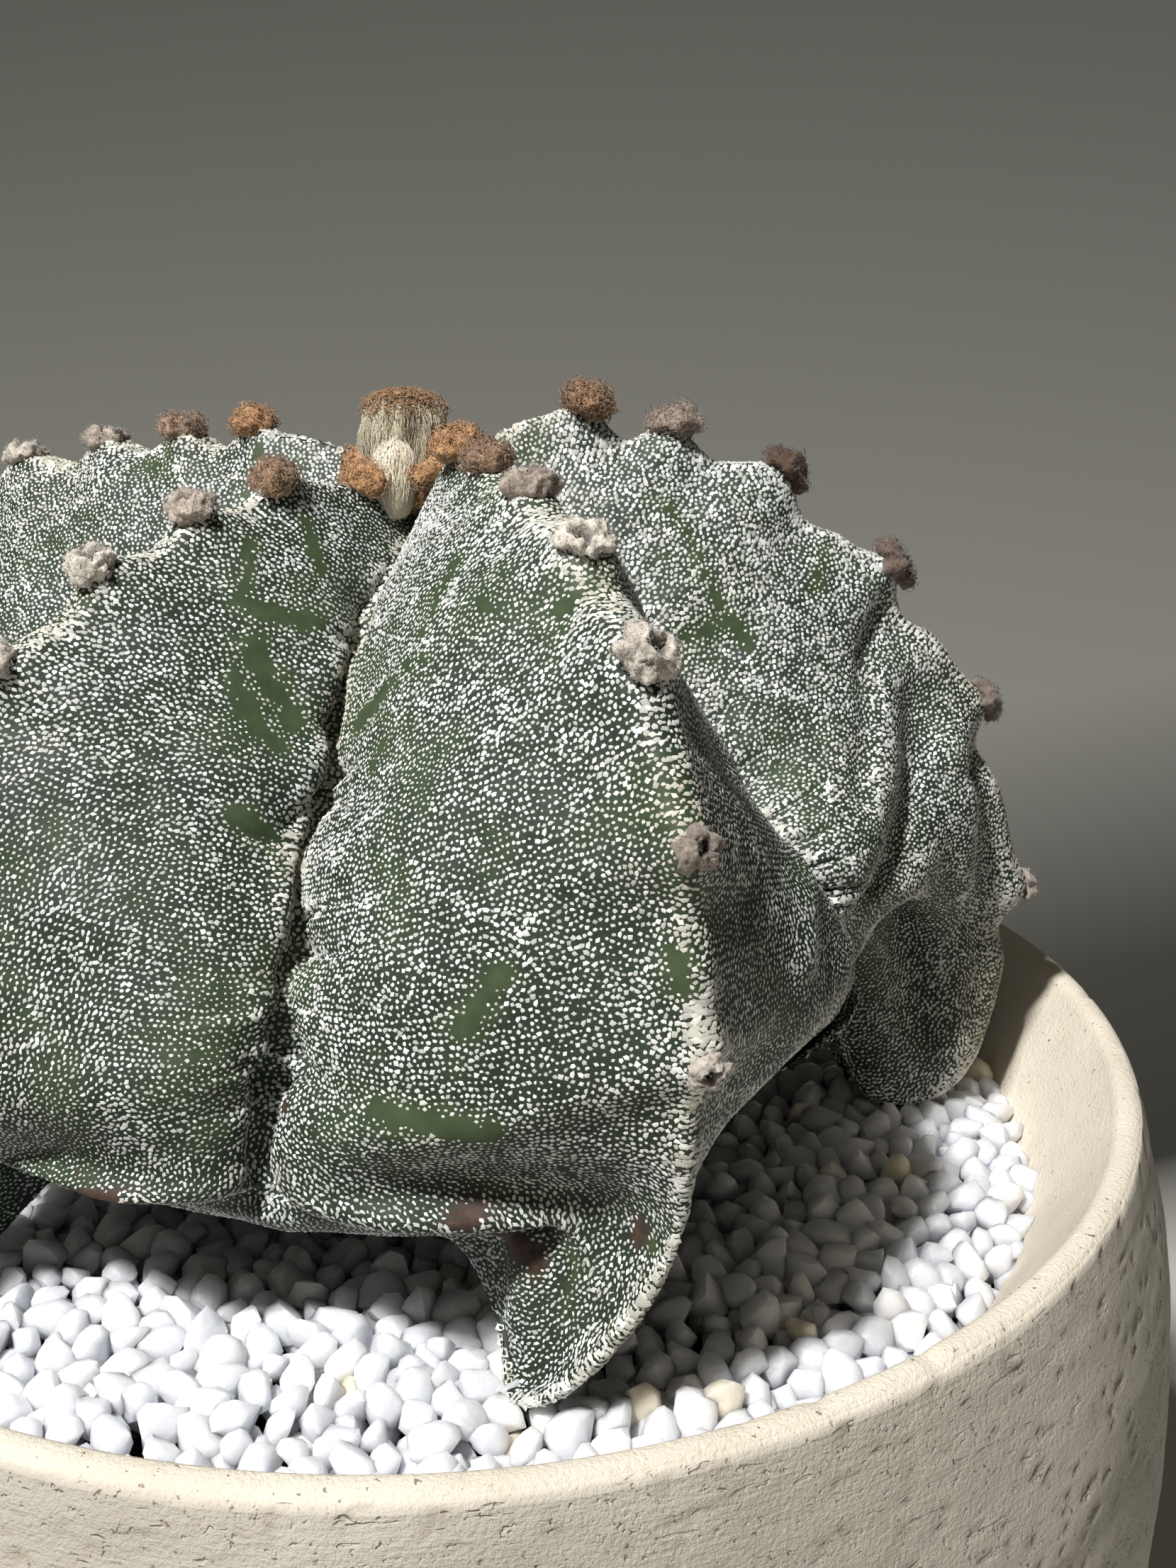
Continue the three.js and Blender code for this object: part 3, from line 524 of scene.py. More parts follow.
# folds and creases of the skin: [points in mm], half width, depth (negative stands proud)
FOLDS = (
    ([(20.5, -60.5, 129), (16.3, -58.5, 126.5), (12.9, -57, 125), (9.5, -55.5, 123),
      (6, -54, 120)], 0.9, 1.1),
    ([(20.5, -61, 131.5), (16.3, -59, 129), (12.9, -57.5, 127.5), (8, -56, 125)], 1.6, -0.55),
    ([(32, -35.5, 136.4), (30.7, -42.4, 134.8), (29.7, -46.7, 131.1)], 1.6, -0.9),
    ([(46.9, -2.6, 151.5), (44.5, -8, 146.2), (43.7, -13, 141.2), (42, -19.1, 135.9)], 1.7, 1.2),
    ([(51.2, -7, 141), (49.7, -14.1, 134.1), (47.2, -19.4, 129.8), (43.9, -24.8, 125.5),
      (43, -27, 119)], 4, 3),
    ([(54.9, -6.6, 134.9), (55, -8.3, 125.3), (56.5, -4.8, 113.2), (56.5, -4.9, 102.1)], 3, -1.5),
    ([(-9, -27.4, 141.2), (-10.8, -30.1, 139.9), (-12.1, -31.7, 139.2)], 0.8, 1.2),
    ([(-15.3, -44, 123.4), (-14.5, -43.8, 122), (-13.7, -43.5, 120.2)], 1.2, 1.2),
    ([(-7.9, -20.8, 151.3), (-9, -22.7, 149.8), (-9.7, -24.9, 146.9)], 1.8, -0.8),
    ([(-9, -25.8, 144.2), (-10.5, -27.6, 143.5), (-10.5, -29.5, 140.4)], 1.6, -0.8),
    ([(-11.2, -32.6, 136.6), (-12.1, -34.5, 135.1), (-12.7, -36.9, 132.6)], 1.8, -0.8),
    ([(17.4, -52.5, 157), (15.2, -52, 157.5)], 0.6, 0.6),
    ([(18.3, -60.5, 128.2), (21.5, -60, 128.6)], 0.5, 0.8),
    ([(13.9, -53.8, 106.7), (14.9, -56.1, 106.2), (12.9, -55.3, 103.3)], 0.8, 0.9),
)
# the ledge low on the right rib's left flank, which is eased into one slope
EASED_LEDGE = [(41.3, -25.6, 127.4), (44.1, -23.9, 126.3), (47.4, -21, 125.2), (50.5, -15, 122)]
EASED_WIDTH = 7
EASED_ROUNDS = 260
# places without flecks: [points in mm], half width
BARE_STREAKS = (
    ([(3.1, -29.6, 160.8), (2.2, -30.1, 159.5), (1.4, -31, 157.8), (0.8, -32.1, 156.3)], 1.0),
    ([(0.8, -32.1, 156.3), (0.3, -34.7, 153.6)], 0.5),
    ([(0.3, -34.7, 153.6), (-1.1, -33.2, 152.6), (-2.8, -31.8, 150.9), (-4.1, -30.8, 149.2),
      (-5.6, -28.5, 147.6)], 1.2),
    ([(-1.9, -33, 152), (-3, -35.3, 148.1), (-4.2, -36, 145.8)], 0.75),
    ([(5, -54.5, 134.6), (3.5, -54.2, 132.6), (2, -54, 130.3)], 0.85),
    ([(-4.6, -52.7, 122.8), (-2.5, -53.6, 122.6), (0.6, -54.8, 122.4), (3.5, -56, 122.2)], 1.0),
    ([(17.8, -59.7, 137.7), (17.9, -60.1, 136)], 0.8),
    ([(5.3, -25.1, 165), (6.1, -25.1, 166), (6.9, -27.1, 165.6)], 1.0),
    ([(11.8, -45.5, 158.1), (13, -45.5, 159.4)], 0.5),
    ([(-16.3, -21.1, 157), (-14.7, -21, 156.2), (-12.3, -20.6, 155.4), (-9.3, -19.3, 154.7)],
     0.8),
    ([(-15.4, -16.6, 161.5), (-15.5, -18.9, 159), (-16.3, -21.1, 157)], 0.5),
    ([(-15, -23.7, 153), (-14, -24.8, 151.1), (-12.7, -25.4, 149.1), (-11.7, -25.9, 147.4)], 1.2),
    ([(-16.3, -25.9, 150.7), (-15, -27.7, 147.6), (-13.4, -27.9, 145.8)], 1.0),
    ([(-16.5, -33, 140.8), (-15.3, -32.9, 140), (-14, -32.7, 139.2)], 0.9),
    ([(-10.4, -12.1, 162.4), (-10, -14.1, 160.2), (-9, -15.5, 158.3)], 0.6),
    ([(23.1, -4.5, 162.6), (25, -5.5, 160.8), (26.7, -6.9, 158.3), (27.3, -8.7, 155.5),
      (28.7, -10, 153)], 0.65),
    ([(25.1, -12.8, 150.4), (27.8, -11.8, 151.5), (30.2, -11, 151.9), (31.8, -11.9, 149.8)],
     0.8),
    ([(41.5, -1.2, 157.8), (40.3, -3.2, 155.8), (39.1, -5.3, 153.8)], 0.7),
    ([(-25.1, 15.3, 165.8), (-27.1, 14.1, 163.9), (-29.5, 15.8, 162.9)], 1.1),
    ([(-31.2, 15.1, 160.5), (-31.4, 12.4, 158.4)], 0.9),
    ([(10.5, -50.8, 109.7), (11.4, -51.7, 106.7), (10.4, -51.7, 103.7)], 0.4),
    ([(17.7, -59.5, 116.1), (16.5, -55.9, 111.2)], 0.45),
)
# brown scabs and corky stains: [points in mm], half width
SCABS = (
    ([(-11, -20.2, 155.3), (-9.6, -19.4, 154.9)], 0.6),
    ([(-14.5, -44, 120.8), (-12.5, -45.1, 120.2)], 0.7),
    ([(-13.1, -44.1, 118.8), (-12.3, -46, 120)], 0.6),
    ([(-12, -32.6, 137.8), (-11.2, -32.2, 137.1)], 0.6),
    ([(-9.2, -31.5, 136.8), (-9.9, -31.7, 135.8)], 0.6),
    ([(33.7, -8.6, 152.6), (33.3, -9.4, 151.6)], 0.4),
    ([(9.7, -54.2, 117.1), (10.2, -53.5, 116.1)], 0.7),
    ([(1.4, -52, 112.2), (2.9, -51.7, 112.5)], 1.2),
    ([(3.8, -46.5, 107.3), (5.9, -48.1, 107.2), (7.4, -49.4, 107)], 1.6),
    ([(17.5, -60.2, 120.1), (17, -59.5, 119)], 0.7),
    ([(15.9, -54.6, 112.3), (15.7, -54.2, 110.9)], 0.8),
    ([(10.2, -51.1, 105.4), (10.3, -51.2, 104.6)], 0.5),
    ([(-34, -46, 112), (-28.9, -44.7, 110.6), (-24, -45, 110)], 2.4),
)


def groove_after(index):
    rib, following = RIBS[index], RIBS[(index + 1) % len(RIBS)]
    return rib["azimuth"] + (following["azimuth"] - rib["azimuth"]) % 360 / 2, rib["arch"]


def line_distance(points, line):
    """Distance of every point from a broken line, in mm."""
    line = np.asarray(line, float)
    least = np.full(points.shape[:-1], 1e9)
    for start, end in zip(line[:-1], line[1:]):
        along = end - start
        t = np.clip(((points - start) @ along) / (along @ along), 0, 1)
        least = np.minimum(least, np.linalg.norm(points - start - t[..., None] * along, axis=-1))
    return least


def skin_table():
    """Points of the stem in rows down it and columns round it."""
    station = SKIN_STATIONS
    blocks = []
    for index, rib in enumerate(RIBS):
        for side in (-1, 1):
            azimuth, arch = groove_after(index - 1 if side < 0 else index)
            groove_seed = (index - 1 if side < 0 else index) % len(RIBS)
            run = np.stack([
                station * STATION_RUN, station * 0 + groove_seed * 40, station * 0], axis=-1)
            sway = 2.8 * bumps(run, 13, 3) + 1.5 * bumps(run, 5, 4)
            sway = sway * smooth(1.5, 4, station) * (1 - smooth(11, 13, station))
            share = SHARES if side < 0 else np.concatenate([[1], SHARES[:0:-1]])
            blocks.append(flank(rib, azimuth + sway, arch, side, station, share))
    table = np.concatenate(blocks, axis=1)
    return np.concatenate([table, table[:, :1]], axis=1)


def table_normals(table):
    """Outward normals of a table of points that closes round its columns."""
    down = np.gradient(table, axis=0)
    ring = np.concatenate([table[:, -2:-1], table, table[:, 1:2]], axis=1)
    round_it = (ring[:, 2:] - ring[:, :-2]) / 2
    return unit(np.cross(down, round_it)), unit(round_it)


table = skin_table()
column = np.arange(table.shape[1])
share_row = np.concatenate([
    np.concatenate([SHARES, [1], SHARES[:0:-1]]) for _ in RIBS] + [[0]])
side_row = np.where(column % RIB_COLUMNS < FLANK_STEPS, -1, 1)
rib_row = np.minimum(column // RIB_COLUMNS, len(RIBS) - 1)
share = np.broadcast_to(share_row, table.shape[:2])
station = np.broadcast_to(SKIN_STATIONS[:, None], table.shape[:2])
outside = smooth(0.3, 2, station) * (1 - smooth(12.6, 14.5, station))


def eased(table):
    """The table with its ledge smoothed down the columns."""
    amount = np.exp(-((line_distance(table, EASED_LEDGE) / EASED_WIDTH) ** 4)) * outside
    table = table.copy()
    for _ in range(EASED_ROUNDS):
        middle = (table[2:] + table[:-2]) / 2
        table[1:-1] = mix(table[1:-1], middle, 0.5 * amount[1:-1, :, None])
    return table


def swellings(table):
    """How far the skin stands proud of its plain form: broad swellings, puckers and cracks beside
    the grooves, fine unevenness, and then the folds."""
    swell = bumps(table, 21, 1) * 1.1 * smooth(0.05, 0.4, share)
    swell += bumps(table, 8, 2) * 0.42 * smooth(0, 0.2, share)
    beside_groove = np.exp(-(share / 0.2) ** 2) * (1 - smooth(7.5, 10, station)) \
        * smooth(2, 4, station)
    pucker_run = np.stack([
        station * STATION_RUN, side_row + rib_row * 30.0 + share * 3, station * 0], axis=-1)
    pucker = bumps(pucker_run, (6.5, 5, 1), 5)
    swell += beside_groove * (1.9 * pucker - 0.2)
    deep_groove = np.exp(-(share / 0.04) ** 2) * (1 - smooth(11, 12.5, station)) \
        * smooth(2, 5, station)
    swell -= 2 * deep_groove
    crack = np.abs(bumps(pucker_run, (5, 4, 1), 6))
    swell -= beside_groove * 1.1 * np.exp(-((crack / 0.08) ** 2))
    swell += bumps(table, 3.2, 7) * 0.13 + bumps(table, 1.7, 8) * 0.05
    for line, width, depth in FOLDS:
        swell -= depth * np.exp(-((line_distance(table, line) / width) ** 2))
    return swell


table = eased(table)
normal, around = table_normals(table)
table = table + normal * (swellings(table) * outside)[..., None]
table[:, -1] = table[:, 0]
normal, around = table_normals(table)


def bareness(points, share, station):
    """How bare of flecks the skin is at points in mm, how thin they are there and how scabby."""
    patch = bumps(points, (6, 6, 11), 11) + 0.5 * bumps(points, 2.4, 12)
    patch += 0.25 * np.exp(-(((share - 0.22) / 0.22) ** 2)) * (1 - smooth(9, 12, station))
    bare = smooth(0.7, 0.84, patch - 0.25 * smooth(0, -15, points[..., 1]))
    ragged = 1 + 0.6 * bumps(points, 1.5, 13) + 0.5 * bumps(points, 0.7, 17)
    thin = 0.6 * smooth(0.05, 0.6, patch)
    for line, width in BARE_STREAKS:
        off = line_distance(points, line) / width / ragged
        bare = np.maximum(bare, 1 - smooth(0.7, 1.15, off))
        thin = np.maximum(thin, 1 - smooth(0.9, 2.6, off))
    scab = np.zeros_like(share)
    for line, width in SCABS:
        scab = np.maximum(scab, 1 - smooth(0.6, 1.1, line_distance(points, line) / width / ragged))
    return bare, thin, scab


def of_rib(name):
    """A value of the ribs for every column."""
    return np.array([rib[name] for rib in RIBS])[rib_row]


def skin_values():
    """What materials and flecks need to know at each point of the skin."""
    bare, thin, scab = bareness(table, share, station)
    near_ridge = smooth(0.8, 0.95, share)
    near_groove = (1 - smooth(0.03, 0.2, share)) * (1 - smooth(7, 9, station))
    lengthwise = smooth(9.3, 10.5, station) \
        + 0.7 * (side_row > 0) * smooth(4, 7, station) * smooth(0.3, 0.5, share)
    lengthwise = np.clip(lengthwise, 0, 1) * (1 - 0.8 * near_ridge)
    # Painted shade: the front rib's right flank, which faces away from the light, gets smaller
    # flecks and no dust, so that it is darker.
    shaded_flank = (rib_row == FRONT_RIB) & (side_row > 0)
    # Flecks shrink from station 9 to 11, which paints shade where the belly turns under.
    fleck_size = 1.12 + 0.2 * bumps(table, 6, 14) + 0.4 * near_ridge + 0.42 * near_groove \
        + 0.15 * (1 - smooth(3, 7, station)) - 0.12 * lengthwise - 0.1 * smooth(9, 11, station)
    ring_way = around * np.where(side_row < 0, 1, -1)[None, :, None]
    down_way = unit(np.gradient(table, axis=0))
    return {
        "share": share, "station": station, "scab": scab,
        "green": np.maximum(bare, thin),
        "fleck_size": (fleck_size - 0.13 * shaded_flank) * of_rib("flecks"),
        # dust fades down the stem: partly dust, partly painted shade where the belly turns under
        "dust_and_shade": mix(1, 0.12, smooth(4.5, 10, station)) * of_rib("dust_and_shade") * (1 - shaded_flank),
        "fleck_long": 1.05 + 0.4 * lengthwise + 0.15 * bumps(table, 7, 15),
        "cream": np.clip(
            0.45 * near_ridge + 0.5 * near_groove + 0.5 * bumps(table, 11, 16), 0, 1),
        "across": unit(mix(ring_way, down_way, lengthwise[..., None])),
    }


flank_row = 2 * rib_row[:-1] + (side_row[:-1] > 0)
flank_faces = np.broadcast_to(flank_row, (table.shape[0] - 1, table.shape[1] - 1)).copy()
flank_faces[SKIN_STATIONS[:-1] > FLECKS_END] = -1
skin_mesh = moved_grid("stem_skin", table, skin_values(), {"flank": flank_faces})


# ---------------------------------------------------------------- stem: flecks and wool
FLECK_KINDS, FLECK_RADIUS = 8, 0.33
FLECK_SPACING, FLECK_REACH, FLECK_CROWD = 0.42, 0.56, 45
CURL_KINDS, CURL_HEIGHT, CURL_LOOP, CURL_THICKNESS = 8, 0.95, 0.36, 0.075
TUFT_WOOL_SPACING, PAD_WOOL_SPACING, WOOL_CROWD = 0.29, 0.34, 24
OLD_AGE = 0.3  # from this age on an areole's pad is old, torn and felted
AGE_STEP = 0.21


def fleck_shape(seed):
    """One fleck of white hairs: a low irregular scale, its edge sunk into the skin."""
    draw = np.random.default_rng(seed)
    corners = draw.integers(4, 6)
    bm = bmesh.new()
    bmesh.ops.create_circle(bm, cap_ends=True, cap_tris=True, segments=int(corners),
                            radius=FLECK_RADIUS * MM)
    for vert in bm.verts:
        if vert.co.length > 0.01 * MM:
            vert.co *= draw.uniform(0.65, 1.25)
            vert.co.y *= 0.85
            vert.co.z = -0.05 * MM
        else:
            vert.co.z = draw.uniform(0.05, 0.1) * MM
            vert.co.x = draw.uniform(-0.06, 0.06) * MM
    return mesh_of(bm, f"fleck_{seed}")


def tube(path, radius, sides=3):
    """Table of points of a thin tube along a path, closed at both ends by meeting points."""
    path = np.asarray(path, float)
    along = unit(np.gradient(path, axis=0))
    side = unit(np.cross(along, (0.31, 0.17, 0.94)))
    other = np.cross(along, side)
    angle = 2 * np.pi * np.arange(sides + 1) / sides
    radius = np.broadcast_to(radius, len(path))[:, None, None]
    ring = np.cos(angle)[None, :, None] * side[:, None] + np.sin(angle)[None, :, None] \
        * other[:, None]
    return path[:, None] + radius * ring


def curl_shape(seed):
    """One curled wool hair that stands on its root."""
    draw = np.random.default_rng(seed)
    t = np.linspace(0, 1, 7)
    turns = draw.uniform(0.8, 1.5) * 2 * np.pi
    angle = draw.uniform(0, 6.28) + turns * t
    lean = draw.uniform(-0.35, 0.35, 2)
    path = np.stack([
        CURL_LOOP * np.cos(angle) * t**0.5 + lean[0] * CURL_HEIGHT * t,
        CURL_LOOP * np.sin(angle) * t**0.5 + lean[1] * CURL_HEIGHT * t,
        CURL_HEIGHT * (t - 0.35 * t * t) - 0.1,
    ], axis=-1)
    radius = CURL_THICKNESS / 2 * np.array([1, 1, 1, 1, 0.9, 0.7, 0.02])
    return moved_grid(f"curl_{seed}", tube(path, radius), {})


def ridge_seat(index, distance):
    """Point on a ridge of the finished skin, with its outward, downward and sideways ways."""
    at = np.interp(distance, RIBS[index]["travel"], FINE_STATIONS)
    row = np.interp(at, SKIN_STATIONS, np.arange(len(SKIN_STATIONS)))
    low = int(row)
    col = index * RIB_COLUMNS + FLANK_STEPS
    spot = mix(table[low, col], table[low + 1, col], row - low)
    down = unit(table[low + 4, col] - table[max(low - 4, 0), col])
    sideways = unit(around[low, col])
    outward = np.cross(down, sideways)
    return spot, unit(outward), down, sideways


PAD_ROWS = np.radians(np.concatenate([np.linspace(0, 105, 27), np.linspace(105, 180, 6)[1:]]))
PAD_RING = np.linspace(0, 2 * np.pi, 53)


def areole_pad(index, distance, age, size, seed, worn=0):
    """Felt cushion of one areole: crumpled, and torn open round a pit when it is old.
    The felt's finish paints the pit near black, as painted shade in the hollow.
    """
    draw = np.random.default_rng(seed)
    spot, outward, down, sideways = ridge_seat(index, distance)
    old = float(smooth(0.15, 0.5, age))
    ball = np.stack(np.broadcast_arrays(
        np.sin(PAD_ROWS)[:, None] * np.cos(PAD_RING), np.sin(PAD_ROWS)[:, None] * np.sin(PAD_RING),
        np.cos(PAD_ROWS)[:, None]), axis=-1)
    ball[:, -1] = ball[:, 0]
    corners = 1 + old * 0.14 * np.cos(5 * PAD_RING + seed) * np.sin(PAD_ROWS)[:, None]
    form = ball * (2.5, 2.1, mix(1.6, 1.05, old)) * corners[..., None]
    form[:, -1] = form[:, 0]
    form[..., 2] += mix(0.35, 0.15, old)
    crease = 1 - 2.4 * np.abs(bumps(form, (1.1, 1.1, 1.5), seed))
    crumple = 0.7 * bumps(form, 1.6, seed + 1) + mix(0.15, 0.5, old) * crease \
        + 0.24 * bumps(form, 0.55, seed + 2) + 0.12 * bumps(form, 0.28, seed + 3)
    form = form + ball * crumple[..., None]
    middle = draw.uniform(-0.5, 0.5, 2)
    off = np.hypot(form[..., 0] - middle[0], form[..., 1] - middle[1]) \
        * (1 + 0.5 * bumps(form * (1, 1, 0), 0.8, seed + 4))
    pit = old * (1 - smooth(0.6, 1.1, off)) * smooth(-0.6, 0.4, form[..., 2])
    form[..., 2] += old * 0.4 * np.exp(-(((off - 1.5) / 0.4) ** 2)) - 1.5 * pit
    form *= size
    points = spot + form[..., :1] * sideways - form[..., 1:2] * down + form[..., 2:] * outward
    above = smooth(-0.8, 0.1, form[..., 2])
    full = np.ones_like(off)
    return moved_grid("pad", points, {
        "age": age * full, "worn": worn * full, "pit": pit,
        "cover": above * (1 - smooth(0.2, 0.6, pit)),
        "across": np.broadcast_to(sideways, points.shape).copy(),
        "curl_size": mix(1.15, 0.7, old) * size * full,
    })


def joined(meshes, name):
    """One mesh of several, values kept."""
    bm = bmesh.new()
    for mesh in meshes:
        bm.from_mesh(mesh)
    whole = meshes[0].copy()
    whole.name = name
    bm.to_mesh(whole)
    bm.free()
    return whole


def loose_points(points_mesh, wanted):
    """Keeps only the wanted vertices of a mesh of loose points."""
    bm = bmesh.new()
    bm.from_mesh(points_mesh)
    bmesh.ops.delete(bm, geom=[vert for vert, keep in zip(bm.verts, wanted) if not keep],
                     context="VERTS")
    bm.to_mesh(points_mesh)
    bm.free()


def all_pads():
    """Pads of all areoles: the young ones, with the tufts of the crown, and the old ones."""
    young, old = [], []
    for index, rib in enumerate(RIBS):
        young.append(areole_pad(index, INNER_TUFT_DISTANCE, 0, INNER_TUFT_SIZE, 200 + index))
        young.append(areole_pad(index, CROWN_TUFT_DISTANCE, 0, CROWN_TUFT_SIZE, 220 + index))
        for k, mark in enumerate(rib["areoles"]):
            age = min(1, rib["age"] + AGE_STEP * k)
            seed = index * 20 + k
            size = rib["felt"] * mix(1, LOW_PAD_SIZE, smooth(3.5, 5.5, k)) \
                * np.random.default_rng(seed).uniform(0.94, 1.08)
            worn = rib["worn"][k] if k < len(rib["worn"]) else 0
            pads = young if age < OLD_AGE else old
            pads.append(areole_pad(index, mark, age, size, seed, worn))
    return joined(young, "crown_tufts"), joined(old, "areole_pads")


def wool_on(pads, spacing):
    """Curled hairs all over the pads, but not in their pits."""
    roots = strewn(pads, spacing, WOOL_CROWD, 3, "cover")
    return placed(roots, curls, 3, (0.75, 1.3), ("curl_size", "curl_size"))


def flecks_on(number):
    """The flecks of one flank: none on bare places, few on scabs, small ones where they are thin."""
    spots = strewn(skin_mesh, FLECK_SPACING, FLECK_CROWD, 10 + number, None, number)
    spread_out(spots, skin_mesh, FLECK_REACH, 1)
    at = places(spots)
    bare, thin, scab = bareness(at, value_of(spots, "share"), value_of(spots, "station"))
    chance = np.random.default_rng(number).uniform(0.3, 0.7, len(at))
    sizes = value_of(spots, "fleck_size") * (1 - 0.32 * thin) * (1 + 0.25 * bumps(at, 2.2, 18))
    spots.attributes["fleck_size"].data.foreach_set("value", sizes.astype(np.float32))
    loose_points(spots, np.maximum(bare, 0.72 * scab) < chance)
    return placed(spots, flecks, 10 + number, (0.68, 1.28), ("fleck_size", "fleck_long"), turn=40)


tuft_mesh, pad_mesh = all_pads()
curls = [curl_shape(seed) for seed in range(CURL_KINDS)]
tuft_wool = wool_on(tuft_mesh, TUFT_WOOL_SPACING)
pad_wool = wool_on(pad_mesh, PAD_WOOL_SPACING)
flecks = [fleck_shape(seed) for seed in range(FLECK_KINDS)]
fleck_meshes = [flecks_on(number) for number in range(2 * len(RIBS))]


# ---------------------------------------------------------------- buds
# wool_from: height above the rim where the brown cap begins; the small bud ends below it
LARGE_BUD = dict(
    name="bud_large", x=-1.5, y=3.2, flutes=12, wool_from=65.4, node="flower_bud_large",
    profile=((0, 56), (2.2, 56.8), (3.7, 59.2), (4.25, 61.8), (4.1, 64.3), (3.2, 66.6), (0, 67.5)),
)
SMALL_BUD = dict(
    name="bud_small", x=-2.4, y=-3.4, flutes=8, wool_from=70, node="flower_bud_small",
    profile=((0, 56), (1.3, 56.8), (1.9, 59), (2, 61), (1.5, 62.8), (0, 63.8)),
)
HAIR_KINDS, HAIR_LENGTH, HAIR_THICKNESS = 6, 2.8, 0.075
SILK_SPACING, CAP_SPACING, BUD_CROWD = 0.24, 0.27, 26
CAP_FADE = 1.6
CAP_BROWNING = 0.35


def hair_shape(seed):
    """One silky hair that lies along X, its root sunk in and its tip standing off a little."""
    draw = np.random.default_rng(seed)
    t = np.linspace(0, 1, 6)
    wave = draw.uniform(0.05, 0.16)
    path = np.stack([
        HAIR_LENGTH * (t - 0.5),
        wave * np.sin(t * draw.uniform(4, 8) + draw.uniform(0, 6)),
        -0.12 + 0.3 * np.sin(t * 2.6),
    ], axis=-1)
    radius = HAIR_THICKNESS / 2 * np.array([0.8, 1, 1, 1, 0.8, 0.05])
    return moved_grid(f"hair_{seed}", tube(path, radius), {})


def bud_meshes(bud, seed):
    """The bud's matted body and its silky hairs, which leave the cap free."""
    line = spline_at(bud["profile"], np.linspace(0, len(bud["profile"]) - 1, 44))
    angle = np.linspace(0, 2 * np.pi, 85)
    radial = np.stack([np.cos(angle), np.sin(angle), 0 * angle], axis=-1)
    body = line[:, None, :1] * radial[None] + np.array([bud["x"], bud["y"], POT_HEIGHT])
    body[..., 2] += line[:, None, 1]
    body[:, -1] = body[:, 0]
    flute = 0.02 * np.cos(bud["flutes"] * angle)[None] * smooth(56.5, 59, line[:, 1:])
    grain = bumps(body, (1.3, 1.3, 5), seed) * 0.12 + bumps(body, 0.7, seed + 1) * 0.05
    body = body + radial[None] * (line[:, :1] * (flute + grain))[..., None]
    body[:, -1] = body[:, 0]
    height = np.broadcast_to(line[:, 1:], body.shape[:2])
    cap = smooth(bud["wool_from"], bud["wool_from"] + CAP_FADE, height)
    up = unit(np.gradient(body, axis=0))
    mesh = moved_grid(bud["name"], body, {
        "cover": (1 - cap) * smooth(57, 58.5, height), "cap": cap, "across": up,
        "age": np.zeros(body.shape[:2]), "worn": np.full(body.shape[:2], CAP_BROWNING),
    })
    hairs = [hair_shape(seed + k) for k in range(HAIR_KINDS)]
    roots = strewn(mesh, SILK_SPACING, BUD_CROWD, seed, "cover")
    silk = placed(roots, hairs, seed, (0.6, 1.15), turn=14)
    return mesh, silk


bud_parts = [bud_meshes(bud, 60 + 20 * k) for k, bud in enumerate((LARGE_BUD, SMALL_BUD))]
cap_roots = strewn(bud_parts[0][0], CAP_SPACING, BUD_CROWD, 90, "cap")
cap_mesh = placed(cap_roots, curls, 90, (1.2, 2.1))


# ---------------------------------------------------------------- quartz chips
CHIP_INNER, CHIP_OUTER = 15, 64.9
BED_DEPTH = 9.7
BED_CREST, BED_RUN, BED_FALL = 45, 20, 1.9
CHIP_KINDS, CHIP_CUTS, CHIP_CROWD = 14, 9, 2.2
WORN_EDGE_ANGLE = 45  # degrees; edges between faces that meet flatter are worn round
TOP_CHIPS = dict(drop=0.9, spacing=2.85, seed=50, sizes=(1.65, 2.6))
LOW_CHIPS = dict(drop=2.7, spacing=2.9, seed=51, sizes=(1.6, 2.4))


def chip_level(x, y):
    """Height of the bed of chips, highest in a ring round the plant."""
    off = (np.hypot(x, y) - BED_CREST) / BED_RUN
    return POT_HEIGHT - BED_DEPTH - BED_FALL * off**2


def chip_shape(seed):
    """One broken chip: a ball cut back to flat faces, with sharp and worn edges."""
    draw = np.random.default_rng(seed)
    bm = bmesh.new()
    bmesh.ops.create_icosphere(bm, subdivisions=2, radius=1)
    ball = np.array([vert.co for vert in bm.verts])
    ball *= np.array([draw.uniform(1.05, 1.35), draw.uniform(0.9, 1.1), draw.uniform(0.75, 0.95)])
    for _ in range(CHIP_CUTS):
        face = unit(draw.normal(size=3))
        over = np.maximum(ball @ face - draw.uniform(0.5, 0.78), 0)
        ball -= over[:, None] * face
    ball *= 1 + 0.08 * bumps(ball, 0.45, seed)[:, None]
    for vert, point in zip(bm.verts, ball):
        vert.co = Vector(point * MM)
    bm.normal_update()
    for edge in bm.edges:
        edge.smooth = edge.calc_face_angle() < math.radians(WORN_EDGE_ANGLE)
    return mesh_of(bm, f"chip_{seed}")


def chip_bed(drop):
    """Sheet through the middles of one layer of chips."""
    radius = np.linspace(CHIP_INNER, CHIP_OUTER, 56)
    angle = np.linspace(0, 2 * np.pi, 241)
    x = radius[:, None] * np.cos(angle)[None]
    y = radius[:, None] * np.sin(angle)[None]
    bed = np.stack([x, y, chip_level(x, y) - drop], axis=-1)
    bed[:, -1] = bed[:, 0]
    flat = bed * (1, 1, 0)
    bed[..., 2] += 0.75 * bumps(flat, 5.5, 40) + 0.35 * bumps(flat, 2.6, 41)
    sideways = np.broadcast_to(np.array([1.0, 0, 0]), bed.shape).copy()
    return moved_grid("chip_bed", bed, {"across": sideways})


def chip_layer(drop, spacing, seed, sizes):
    """One layer of loose chips, tumbled every way."""
    middles = strewn(chip_bed(drop), spacing, CHIP_CROWD, seed)
    return placed(middles, chips, seed, sizes, tumble=True)


chips = [chip_shape(seed) for seed in range(CHIP_KINDS)]
top_chips = chip_layer(**TOP_CHIPS)
low_chips = chip_layer(**LOW_CHIPS)


